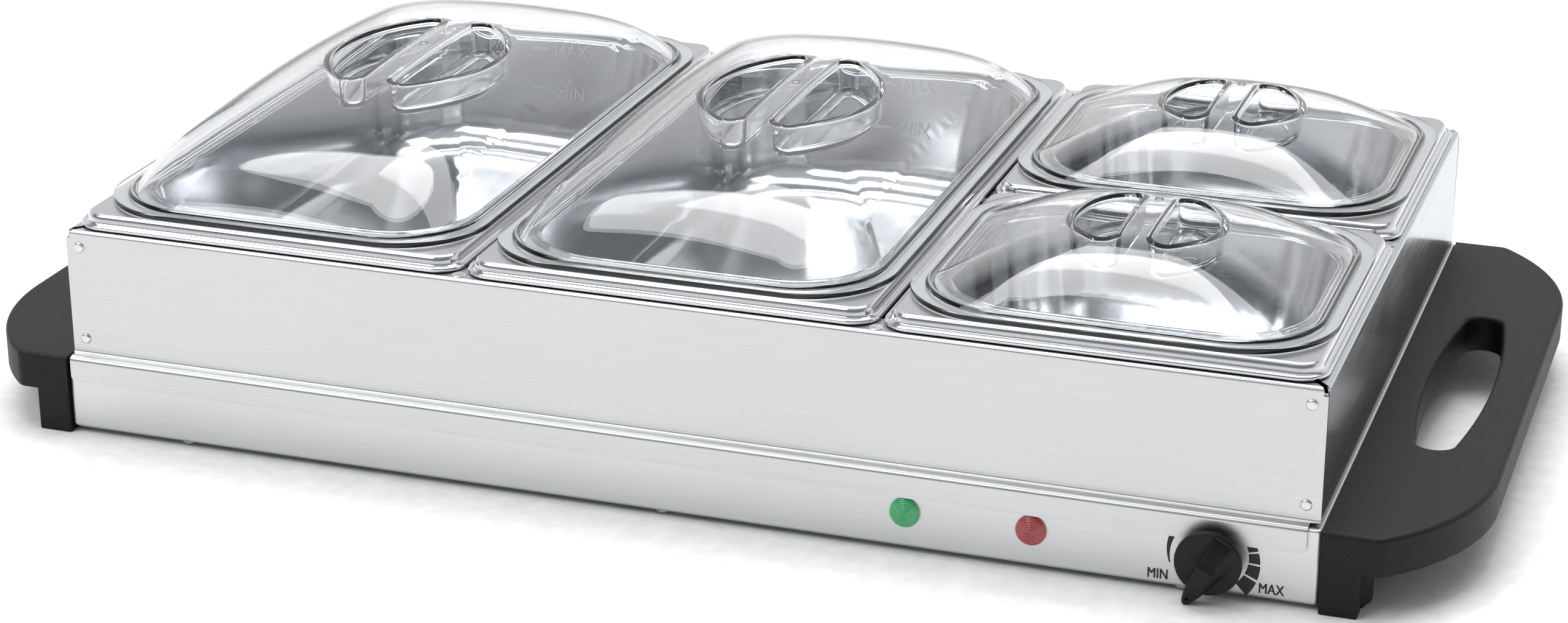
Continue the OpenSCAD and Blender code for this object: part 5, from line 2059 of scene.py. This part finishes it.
@dataclass
class Studio:
    """Pale floor, soft light and the camera."""

    azimuth: float = 18.93
    elevation: float = 21.4
    distance: float = 1.5124
    target: Point3 = (-0.0035, 0.0, 0.027)
    lens: float = 78.59
    floor_half: float = 9000.0

    # height in the surround, as a share, and the colour there
    BEHIND = (
        ((0.0, "#FFFFFF"), (0.5, "#F4F5F6"), (0.68, "#7C8085"))
        + ((0.85, "#A9ACB0"), (1.0, "#D5D7D9"))
    )
    FRONT = (
        ((0.0, "#FFFFFF"), (0.1, "#EDEEEF"), (0.24, "#8B8F94"))
        + ((0.5, "#74787D"), (1.0, "#D5D7D9"))
    )

    def camera(self) -> None:
        """Sets up the camera."""
        data = bpy.data.cameras.new("camera")
        data.lens, data.sensor_width, data.sensor_fit = self.lens, 36.0, "HORIZONTAL"
        data.clip_start, data.clip_end = 0.05, 60.0
        eye = placed("camera", data)
        az, el = math.radians(self.azimuth), math.radians(self.elevation)
        out = Vector((math.sin(az) * math.cos(el), -math.cos(az) * math.cos(el), math.sin(el)))
        eye.location = Vector(self.target) + out * self.distance
        eye.rotation_euler = (-out).to_track_quat("-Z", "Y").to_euler()
        bpy.context.scene.camera = eye

    def floor(self) -> None:
        """A wide pale floor."""
        shell = Shell()
        half = self.floor_half
        shell.cap(shell.ring(rounded_rect(half, half, half / 18, 8, 1), 0.0))
        floor = dress(shell.mesh("floor"), "floor", PALE_FLOOR, outwards=False)

    def light(self, name: str, place: Point3, size: Point2, power: float) -> None:
        """One soft light that looks at the middle of the server."""
        data = bpy.data.lights.new(name, "AREA")
        data.shape, data.size, data.size_y, data.energy = "RECTANGLE", size[0], size[1], power
        lamp = placed(name, data)
        lamp.location = place
        aim = Vector((0, 0, 0.05)) - Vector(place)
        lamp.rotation_euler = aim.to_track_quat("-Z", "Y").to_euler()

    def daylight(self) -> None:
        """A broad, even light from above that keeps the floor pale."""
        data = bpy.data.lights.new("daylight", "SUN")
        data.energy, data.angle = 1.7, math.radians(40)
        lamp = placed("daylight", data)
        lamp.rotation_euler = (math.radians(-14), math.radians(-10), 0)

    def sky(self) -> None:
        """A surround that is pale low down and behind, and grey high up in front."""
        world = bpy.data.worlds.new("surround")
        world.use_nodes = True
        tree = world.node_tree
        tree.nodes.clear()
        where = add_node(tree, "ShaderNodeTexCoord")
        split = add_node(
            tree, "ShaderNodeSeparateXYZ", links={"Vector": where.outputs["Generated"]}
        )
        behind = self.bands(tree, split.outputs["Z"], self.BEHIND)
        front = self.bands(tree, split.outputs["Z"], self.FRONT)
        turn = add_node(
            tree,
            "ShaderNodeMapRange",
            {"From Min": -0.35, "From Max": 0.35},
            {"Value": split.outputs["Y"]},
            interpolation_type="SMOOTHSTEP",
        )
        mix = add_node(
            tree,
            "ShaderNodeMix",
            links={0: turn.outputs["Result"], 6: front, 7: behind},
            data_type="RGBA",
        )
        back = add_node(tree, "ShaderNodeBackground", {"Strength": 1.0}, {"Color": mix.outputs[2]})
        add_node(tree, "ShaderNodeOutputWorld", links={"Surface": back.outputs["Background"]})
        bpy.context.scene.world = world

    @staticmethod
    def bands(
        tree: bpy.types.NodeTree, value: bpy.types.NodeSocket, stops: Sequence[tuple[float, str]]
    ) -> bpy.types.NodeSocket:
        """A colour ramp over a value.

        Args:
            tree: Tree of the world.
            value: What the ramp runs over.
            stops: Place and colour of each stop.

        Returns:
            The colour.
        """
        ramp = add_node(tree, "ShaderNodeValToRGB", links={"Fac": value})
        marks = ramp.color_ramp.elements
        marks[0].position, marks[0].color = stops[0][0], linear(stops[0][1])
        marks[1].position, marks[1].color = stops[-1][0], linear(stops[-1][1])
        for place, code in stops[1:-1]:
            marks.new(place).color = linear(code)
        return ramp.outputs["Color"]

    def build(self) -> None:
        """Builds the studio."""
        self.camera()
        self.floor()
        self.sky()
        self.light("key", (-1.4, -1.6, 2.2), (1.8, 1.2), 34.0)
        self.light("top", (0.3, 0.9, 2.4), (2.4, 1.2), 26.0)
        self.daylight()
        bpy.context.scene.view_settings.view_transform = "Standard"
        LOG.info("studio")


# ------------------------------------------------------------------ assembly


def main() -> None:
    """Builds every sub-assembly in order."""
    logging.basicConfig(level=logging.INFO, format="%(message)s")
    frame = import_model()
    NODES.update(frame["nodes"])
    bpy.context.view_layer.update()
    Studio().build()
    WarmingBase().build()
    for side in Side:
        Handle(side).build()
    Knob().build()
    BuffetFrame().build()
    for dish in Dish:
        Pan(dish).build()
        Lid(dish).build()


if __name__ == "__main__":
    main()
